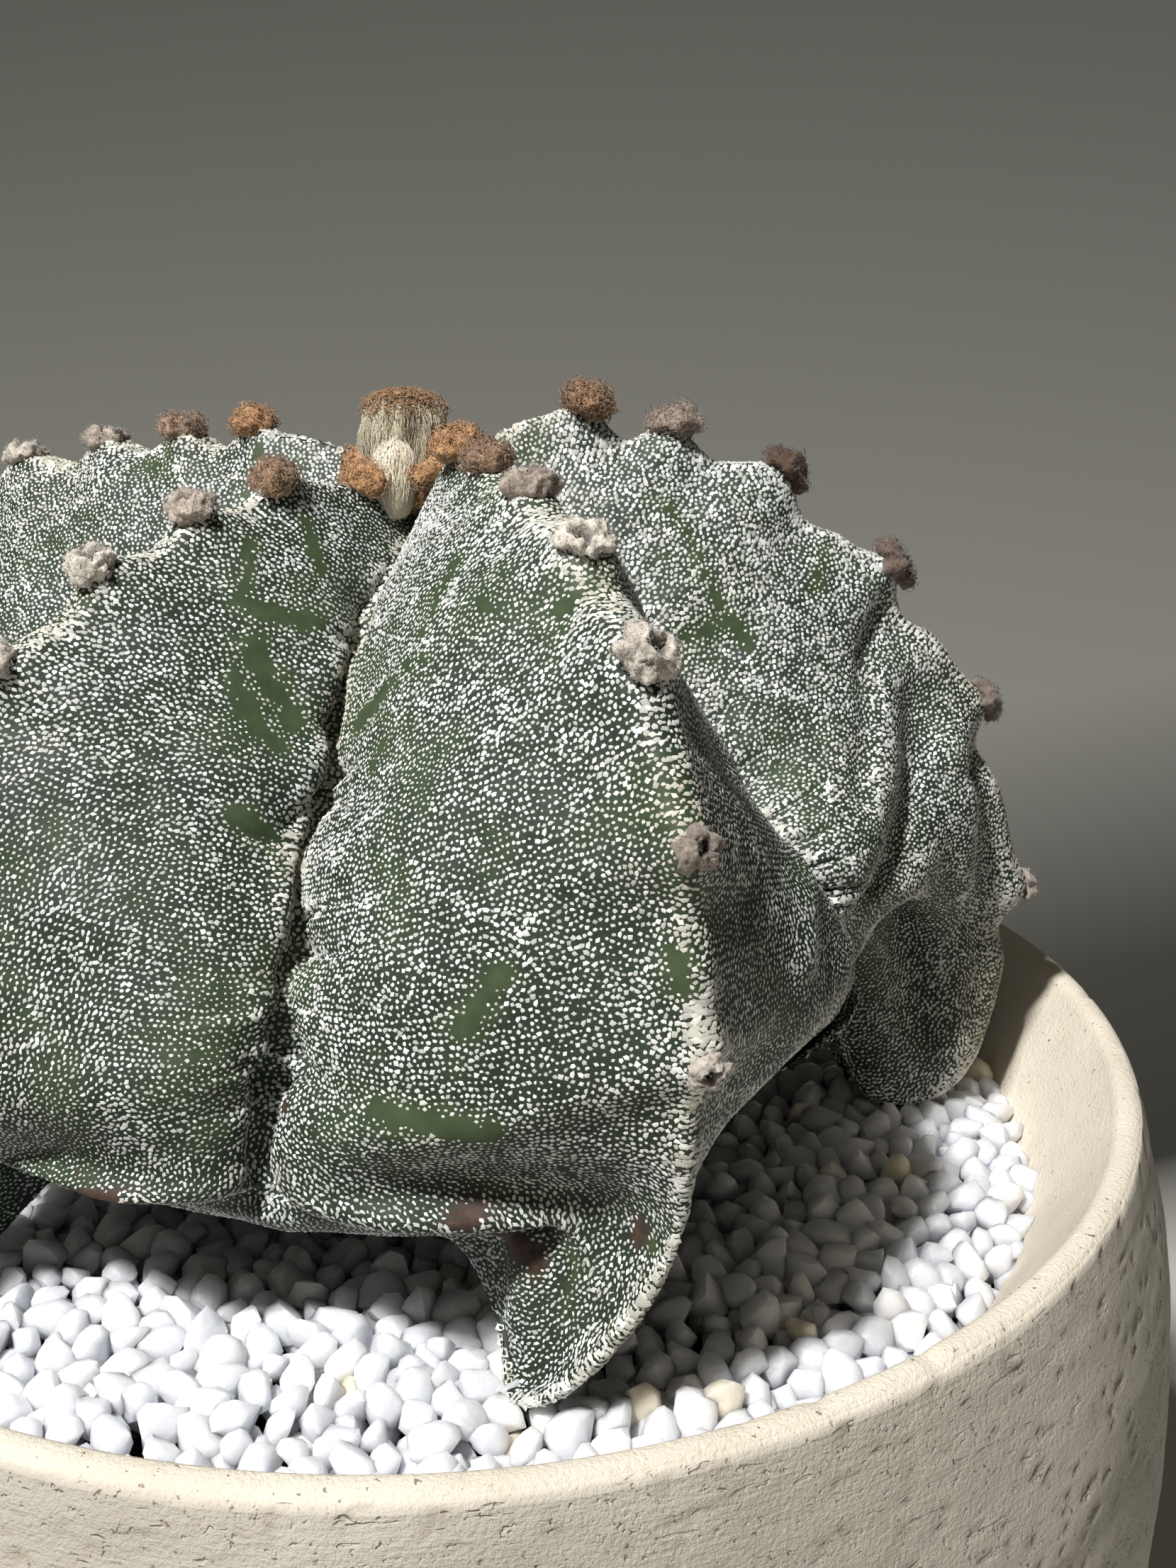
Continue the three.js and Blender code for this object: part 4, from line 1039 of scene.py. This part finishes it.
# ---------------------------------------------------------------- pot
# outlines of the pot as (radius, height), up the outside, over the lip, down the inside and back
POT_OUTER = (
    (53.2, 1.2), (63, 12), (74.2, 32), (79.4, 52), (80.3, 67), (79.9, 81), (78.2, 92),
    (75.8, 102),
)
POT_LIP = (
    (75.15, 103.6), (75, 104.2), (74.75, 104.65), (74.2, 104.95), (73.55, 105), (72.9, 104.95),
    (72.4, 104.65), (72.1, 104.1),
)
SLOPE_TOP, SLOPE_FOOT = (71.8, 103.6), (64.5, 92)
POT_INNER = (
    (63.8, 90), (66.4, 80), (67.5, 66), (65.6, 48), (58.6, 28), (49, 15), (41, 11),
)
POT_FLOOR = (
    (24, 11), (7, 11), (7, 2), (25, 2), (42, 2), (43.4, 1), (44, 0), (48, 0), (52, 0),
)
POT_SEGMENTS = 625
NICK_DEPTH = 0.3


def pot_outline():
    """Closed outline of the pot, with close points where the wall shows."""
    outer = spline_at(POT_OUTER, np.concatenate([
        np.linspace(0, 3, 22), np.linspace(3, 7, 84)[1:]]))
    slope = np.linspace(SLOPE_TOP, SLOPE_FOOT, 22)
    inner = spline_at(POT_INNER, np.linspace(0, 6, 13))
    return np.concatenate([outer, POT_LIP, slope, inner, POT_FLOOR])


def pot_relief(points):
    """How far the ware stands out at points in mm, how nicked its lip is, and what its finish
    needs to know."""
    radius = np.hypot(points[:, 0], points[:, 1])
    height = points[:, 2]
    line = np.interp(height, [h for _, h in POT_OUTER], [r for r, _ in POT_OUTER])
    wall = smooth(-2.5, -1.2, radius - line) * smooth(0.6, 3, height)
    below_lip = wall * (1 - smooth(103.7, 104.7, height))
    inside = (1 - wall) * smooth(88, 92, height)
    drag = bumps(points, (2.4, 2.4, 0.8), 70)
    pits = bumps(points, (1.6, 1.6, 1), 71)
    push = 0.35 * bumps(points, (40, 40, 14), 72)
    push += below_lip * (0.14 * bumps(points, (14, 14, 3), 73) - 0.22 * smooth(0.5, 0.58, drag)
                         - 0.2 * smooth(0.5, 0.58, pits) + 0.06 * bumps(points, 1.6, 74))
    push += inside * 0.12 * bumps(points, (22, 22, 5), 75)
    push = push * smooth(86, 91, np.where(wall > 0.5, 95, height)) * smooth(0, 4, height)
    nick = smooth(0.34, 0.6, bumps(points, (3, 3, 3), 76)) * smooth(102.8, 104.6, height)
    pitted = smooth(0.4, 0.6, np.maximum(drag, pits)) * below_lip
    return push, nick, {"below_lip": below_lip, "pitted": pitted}


def pot_mesh():
    """The pot's outline turned once round, then dragged, pitted and nicked."""
    outline = pot_outline()
    bm = bmesh.new()
    ring = [bm.verts.new((radius * MM, 0, height * MM)) for radius, height in outline]
    edges = [bm.edges.new(pair) for pair in zip(ring, ring[1:] + ring[:1])]
    bmesh.ops.spin(bm, geom=ring + edges, cent=(0, 0, 0), axis=(0, 0, 1), angle=2 * math.pi,
                   steps=POT_SEGMENTS, use_merge=True)
    bmesh.ops.recalc_face_normals(bm, faces=bm.faces)
    mesh = mesh_of(bm, "pot_ware")
    points = places(mesh)
    push, nick, values = pot_relief(points)
    radius = np.hypot(points[:, 0], points[:, 1])
    points[:, 2] -= NICK_DEPTH * nick
    points[:, :2] *= (1 + push / radius)[:, None]
    mesh.vertices.foreach_set("co", (points * MM).ravel())
    vertex_values(mesh, values)
    return mesh


# ---------------------------------------------------------------- materials
def finish_of(name, **settings):
    """New Principled material and a function that adds nodes to it. Nodes are given as kind,
    {input: value or socket} and settings."""
    made = bpy.data.materials.new(name)
    made.use_nodes = True
    tree = made.node_tree
    shader = tree.nodes["Principled BSDF"]
    for key, value in settings.items():
        shader.inputs[key.replace("_", " ")].default_value = value

    def node(kind, inputs=(), **choices):
        added = tree.nodes.new("ShaderNode" + kind)
        for key, value in choices.items():
            setattr(added, key, value)
        for key, value in dict(inputs).items():
            if isinstance(value, bpy.types.NodeSocket):
                tree.links.new(value, added.inputs[key])
            else:
                added.inputs[key].default_value = value
        return added

    def feed(name, socket):
        tree.links.new(socket, shader.inputs[name])

    return made, node, feed


def object_place(node, stretch=(1, 1, 1)):
    place = node("TexCoord").outputs["Object"]
    return node("Mapping", {"Vector": place, "Scale": stretch}).outputs[0]


def mottle(node, place, per_metre, detail=4, rough=0.55):
    """Noise with the given number of bumps per metre, from 0 to 1."""
    return node("TexNoise", {"Vector": place, "Scale": per_metre, "Detail": detail,
                             "Roughness": rough}).outputs["Fac"]


def ramp(node, value, *stops):
    """Colour or grey from a value, by (place, colour) stops."""
    made = node("ValToRGB", {"Fac": value})
    band = made.color_ramp
    for place, colour in stops[2:]:
        band.elements.new(place)
    for element, (place, colour) in zip(band.elements, sorted(stops)):
        element.position = place
        element.color = (*colour, 1) if isinstance(colour, tuple) else (colour,) * 3 + (1,)
    return made.outputs["Color"]


def blend(node, amount, first, second, how="MIX"):
    """Mixes two colours; either may be a plain colour."""
    plain = [(*c, 1) if isinstance(c, tuple) else c for c in (first, second)]
    made = node("Mix", {0: amount}, data_type="RGBA", blend_type=how)
    for key, colour in zip((6, 7), plain):
        if isinstance(colour, bpy.types.NodeSocket):
            made.id_data.links.new(colour, made.inputs[key])
        else:
            made.inputs[key].default_value = colour
    return made.outputs[2]


def value(node, name):
    return node("Attribute", attribute_name=name).outputs["Fac"]


def relief(node, feed, height, distance, strength=0.6):
    made = node("Bump", {"Height": height, "Distance": distance * MM, "Strength": strength})
    feed("Normal", made.outputs[0])


def skin_finish():
    made, node, feed = finish_of("waxy_skin", Roughness=0.6, Specular_IOR_Level=0.25)
    place = object_place(node)
    ground = ramp(node, mottle(node, place, 120), (0.3, (0.01, 0.017, 0.01)),
                  (0.7, (0.02, 0.031, 0.019)))
    # Dust lightens the ground to grey; where it is low the ground stays dark, which paints shade low
    # on the stem and on the front rib's right flank.
    dust_and_shade_amount = node("Math", {0: ramp(node, mottle(node, place, 700, 2), (0.36, 0.1), (0.7, 0.45)),
                          1: value(node, "dust_and_shade")}, operation="MULTIPLY").outputs[0]
    dust_and_shade_ground = blend(node, dust_and_shade_amount, ground, (0.078, 0.094, 0.078))
    waxy = ramp(node, mottle(node, place, 420, 5), (0.3, (0.028, 0.045, 0.02)),
                (0.7, (0.052, 0.075, 0.035)))
    fresh = blend(node, value(node, "green"), dust_and_shade_ground, waxy)
    cork = ramp(node, mottle(node, place, 900), (0.3, (0.03, 0.017, 0.013)),
                (0.65, (0.075, 0.042, 0.03)), (0.8, (0.15, 0.08, 0.045)))
    colour = blend(node, value(node, "scab"), fresh, cork)
    feed("Base Color", colour)
    relief(node, feed, mottle(node, place, 2600, 3), 0.05)
    return made


def fleck_finish():
    made, node, feed = finish_of("white_flecks", Roughness=0.9, Specular_IOR_Level=0.2)
    place = object_place(node)
    tone = ramp(node, value(node, "tone"), (0.0, (0.36, 0.37, 0.35)), (1.0, (0.68, 0.7, 0.69)))
    creamy = blend(node, value(node, "cream"), tone, (0.92, 0.82, 0.66), "MULTIPLY")
    dirty = blend(node, ramp(node, mottle(node, place, 260), (0.55, 0.0), (0.8, 0.5)), creamy,
                  (0.3, 0.27, 0.2))
    feed("Base Color", dirty)
    relief(node, feed, mottle(node, place, 9000, 2), 0.04)
    return made


def wool_finish(name, depth):
    made, node, feed = finish_of(name, Roughness=0.95, Specular_IOR_Level=0.1,
                                 Sheen_Weight=0.25, Sheen_Roughness=0.5)
    place = object_place(node)
    by_age = ramp(node, value(node, "age"), (0.0, (0.6, 0.34, 0.17)), (0.08, (0.55, 0.31, 0.16)),
                  (0.21, (0.4, 0.26, 0.17)), (0.42, (0.62, 0.53, 0.46)),
                  (0.63, (0.8, 0.74, 0.65)), (0.85, (0.68, 0.62, 0.55)))
    browned = blend(node, value(node, "worn"), by_age, (0.13, 0.08, 0.06))
    uneven = ramp(node, mottle(node, place, 900), (0.25, 0.35 * depth), (0.75, 1.0 * depth))
    shaded = blend(node, 1, browned, uneven, "MULTIPLY")
    # Painted shade: the pits of old pads are near black.
    feed("Base Color", blend(node, value(node, "pit"), shaded, (0.015, 0.009, 0.006)))
    relief(node, feed, mottle(node, place, 3500, 4), 0.25)
    return made


def silk_finish(name, pale, dark):
    made, node, feed = finish_of(name, Roughness=0.8, Specular_IOR_Level=0.25,
                                 Sheen_Weight=0.2)
    place = object_place(node, (1, 1, 0.25))
    feed("Base Color", ramp(node, mottle(node, place, 700), (0.3, dark), (0.7, pale)))
    relief(node, feed, mottle(node, place, 3000, 4), 0.2)
    return made


def quartz_finish():
    made, node, feed = finish_of("white_quartz", Roughness=0.38, Subsurface_Weight=0.8,
                                 Subsurface_Scale=0.0045, Subsurface_Radius=(1, 1, 1),
                                 Specular_IOR_Level=0.45)
    place = object_place(node)
    stone = ramp(node, value(node, "tone"), (0.0, (0.7, 0.715, 0.765)), (0.8, (0.76, 0.775, 0.815)),
                 (0.97, (0.85, 0.83, 0.8)), (0.99, (0.8, 0.7, 0.52)))
    veins = ramp(node, mottle(node, place, 420, 5), (0.35, (0.86, 0.87, 0.89)),
                 (0.6, (1.0, 1.0, 1.0)))
    feed("Base Color", blend(node, 1, stone, veins, "MULTIPLY"))
    relief(node, feed, mottle(node, place, 1300, 5), 0.25)
    return made


def stoneware_finish():
    made, node, feed = finish_of("raw_stoneware", Roughness=0.88, Specular_IOR_Level=0.3)
    place = object_place(node)
    level = object_place(node, (1, 1, 4))
    clay = ramp(node, mottle(node, place, 45, 6), (0.3, (0.385, 0.355, 0.305)),
                (0.7, (0.48, 0.445, 0.385)))
    slip = ramp(node, mottle(node, place, 90, 6), (0.3, (0.61, 0.55, 0.455)),
                (0.7, (0.72, 0.66, 0.555)))
    wall = blend(node, value(node, "below_lip"), slip, clay)
    # Painted shade: the pits and gashes below the lip are coloured darker.
    wall_with_pit_shade = blend(node, value(node, "pitted"), wall, (0.36, 0.325, 0.27))
    specks = ramp(node, mottle(node, place, 1500, 2), (0.68, 0.0), (0.73, 0.8))
    feed("Base Color", blend(node, specks, wall_with_pit_shade, (0.12, 0.08, 0.05)))
    combed = object_place(node, (1, 1, 15))
    striae = ramp(node, mottle(node, combed, 230, 4, 0.6), (0.35, 0.0), (0.65, 0.1))
    gashes = ramp(node, mottle(node, level, 300, 2), (0.29, 0.0), (0.34, 1.0))
    pores = ramp(node, mottle(node, place, 1100, 2), (0.29, 0.0), (0.35, 0.8))
    grain = ramp(node, mottle(node, place, 2200, 4, 0.7), (0.3, 0.0), (0.7, 0.36))
    rough = node("Math", {0: gashes, 1: pores}, operation="ADD").outputs[0]
    rough = node("Math", {0: rough, 1: striae}, operation="ADD").outputs[0]
    rough = node("Math", {0: rough, 1: value(node, "below_lip")}, operation="MULTIPLY").outputs[0]
    total = node("Math", {0: rough, 1: grain}, operation="ADD").outputs[0]
    relief(node, feed, total, 0.45, 0.75)
    return made


def soil_finish():
    made, node, feed = finish_of("potting_mix", Roughness=1.0)
    place = object_place(node)
    feed("Base Color", ramp(node, mottle(node, place, 500, 6), (0.3, (0.018, 0.011, 0.007)),
                            (0.62, (0.07, 0.045, 0.028)), (0.78, (0.24, 0.2, 0.16))))
    relief(node, feed, mottle(node, place, 800, 6), 0.8)
    return made


def plastic_finish():
    made, node, feed = finish_of("mesh_plastic", Roughness=0.5)
    place = object_place(node)
    feed("Base Color", ramp(node, mottle(node, place, 600), (0.3, (0.012, 0.012, 0.012)),
                            (0.7, (0.03, 0.03, 0.028))))
    relief(node, feed, mottle(node, place, 2500, 2), 0.03)
    return made


def studio_finish():
    """Pale paper in front of the pot, with painted shade: near black behind it, then grey up the
    wall.
    """
    made, node, feed = finish_of("studio_paper", Roughness=0.9, Specular_IOR_Level=0.1)
    parts = node("SeparateXYZ", {0: node("TexCoord").outputs["Object"]})
    run = node("Math", {0: parts.outputs[1], 1: parts.outputs[2]}, operation="ADD").outputs[0]
    aside = node("Math", {0: parts.outputs[0], 1: 0.3}, operation="MULTIPLY").outputs[0]
    run = node("Math", {0: run, 1: aside}, operation="SUBTRACT").outputs[0]
    # Painted shade by how far back and up the paper is: pale in front, a near-black band behind the
    # pot, grey that lightens up the sweep and darkens towards the top of the wall; the bands lie
    # further back on the right.
    feed("Base Color", ramp(node, run, (0.04, (0.55, 0.54, 0.5)), (0.09, (0.03, 0.029, 0.025)),
                            (0.18, (0.05, 0.049, 0.043)), (0.36, (0.21, 0.208, 0.19)),
                            (0.95, (0.068, 0.068, 0.06))))
    return made


# ---------------------------------------------------------------- pieces
flecks_finish = fleck_finish()
felt, wool = wool_finish("areole_felt", 0.9), wool_finish("areole_curls", 1.1)
SILKS = (
    (silk_finish("bud_body", (0.5, 0.46, 0.34), (0.22, 0.2, 0.12)),
     silk_finish("bud_silk", (0.72, 0.66, 0.52), (0.42, 0.37, 0.26))),
    (silk_finish("young_bud_body", (0.8, 0.72, 0.56), (0.55, 0.48, 0.35)),
     silk_finish("young_bud_silk", (0.94, 0.89, 0.78), (0.76, 0.69, 0.55))),
)
quartz = quartz_finish()
shown("stem_skin", skin_mesh, skin_finish(), "cactus_skin", "cactus_stem")
for index, mesh in enumerate(fleck_meshes):
    hand = "right" if index % 2 else "left"
    shown(f"flecks_rib_{index // 2 + 1}_{hand}", mesh, flecks_finish, "cactus_skin")
shown("areole_pads", pad_mesh, felt, "cactus_skin")
shown("areole_wool", pad_wool, wool, "cactus_skin")
shown("crown_tufts", tuft_mesh, felt, "cactus_skin")
shown("crown_wool", tuft_wool, wool, "cactus_skin")
for bud, (body, hairs), (body_finish, silk) in zip((LARGE_BUD, SMALL_BUD), bud_parts, SILKS):
    shown(bud["name"], body, body_finish, "bud_wool", bud["node"])
    shown(bud["name"] + "_silk", hairs, silk, "bud_wool")
shown("bud_cap_wool", cap_mesh, wool, "bud_wool")
shown("chips_top", top_chips, quartz, "quartz_chips", "gravel_dressing")
shown("chips_low", low_chips, quartz, "quartz_chips")
shown("pot_ware", pot_mesh(), stoneware_finish(), "stoneware", "pot")
for node_name, made in (("potting_mix", soil_finish()), ("drainage_mesh", plastic_finish())):
    for material_slot in frame["nodes"][node_name].material_slots:
        material_slot.material = made


# ---------------------------------------------------------------- studio
# lengths in metres
FLOOR_FRONT, FLOOR_BACK, WALL_TOP, HALF_WIDTH = -1.6, 0.25, 2.2, 3
SWEEP_RADIUS = 0.35
LIT_POINT = Vector((0, 0, 0.12))
KEY_LIGHT = dict(
    way=(-0.38, -0.42, 0.82), distance=1.3, size=0.13, watts=31, colour=(1, 0.99, 0.97))
FILL_LIGHT = dict(
    way=(-0.5, -0.8, 1.4), distance=1.6, size=1.2, watts=2.2, colour=(1, 0.88, 0.68))
AIR_COLOUR, AIR_STRENGTH = (1, 0.95, 0.84, 1), 0.022


def paper_sweep():
    """Pale floor that sweeps up into a wall behind."""
    bend = [(FLOOR_BACK + SWEEP_RADIUS * math.sin(a), SWEEP_RADIUS - SWEEP_RADIUS * math.cos(a))
            for a in np.linspace(0.1, math.pi / 2, 16)]
    run = [(FLOOR_FRONT, 0), (FLOOR_BACK, 0), *bend, (FLOOR_BACK + SWEEP_RADIUS, WALL_TOP)]
    bm = bmesh.new()
    line = [bm.verts.new((-HALF_WIDTH, y, z)) for y, z in run]
    edges = [bm.edges.new(pair) for pair in zip(line, line[1:])]
    made = bmesh.ops.extrude_edge_only(bm, edges=edges)
    bmesh.ops.translate(bm, vec=(2 * HALF_WIDTH, 0, 0),
                        verts=[v for v in made["geom"] if isinstance(v, bmesh.types.BMVert)])
    bmesh.ops.recalc_face_normals(bm, faces=bm.faces)
    mesh = mesh_of(bm, "studio_floor")
    mesh.materials.append(studio_finish())
    floor = bpy.data.objects.new("studio_floor", mesh)
    scene.collection.objects.link(floor)


def lamp(name, way, distance, size, watts, colour):
    """Round lamp that looks at the plant from the given way."""
    data = bpy.data.lights.new(name, "AREA")
    data.shape = "DISK"
    data.size = size
    data.energy = watts
    data.color = colour
    light = bpy.data.objects.new(name, data)
    light.location = LIT_POINT + Vector(way).normalized() * distance
    light.rotation_euler = Vector(way).to_track_quat("Z", "Y").to_euler()
    scene.collection.objects.link(light)


def studio():
    """The paper, one firm light from the left, a soft warm fill and a little light all round."""
    paper_sweep()
    lamp("key", **KEY_LIGHT)
    lamp("fill", **FILL_LIGHT)
    world = bpy.data.worlds.new("studio")
    world.use_nodes = True
    world.node_tree.nodes["Background"].inputs[0].default_value = AIR_COLOUR
    world.node_tree.nodes["Background"].inputs[1].default_value = AIR_STRENGTH
    scene.world = world
    scene.view_settings.view_transform = "Standard"


studio()
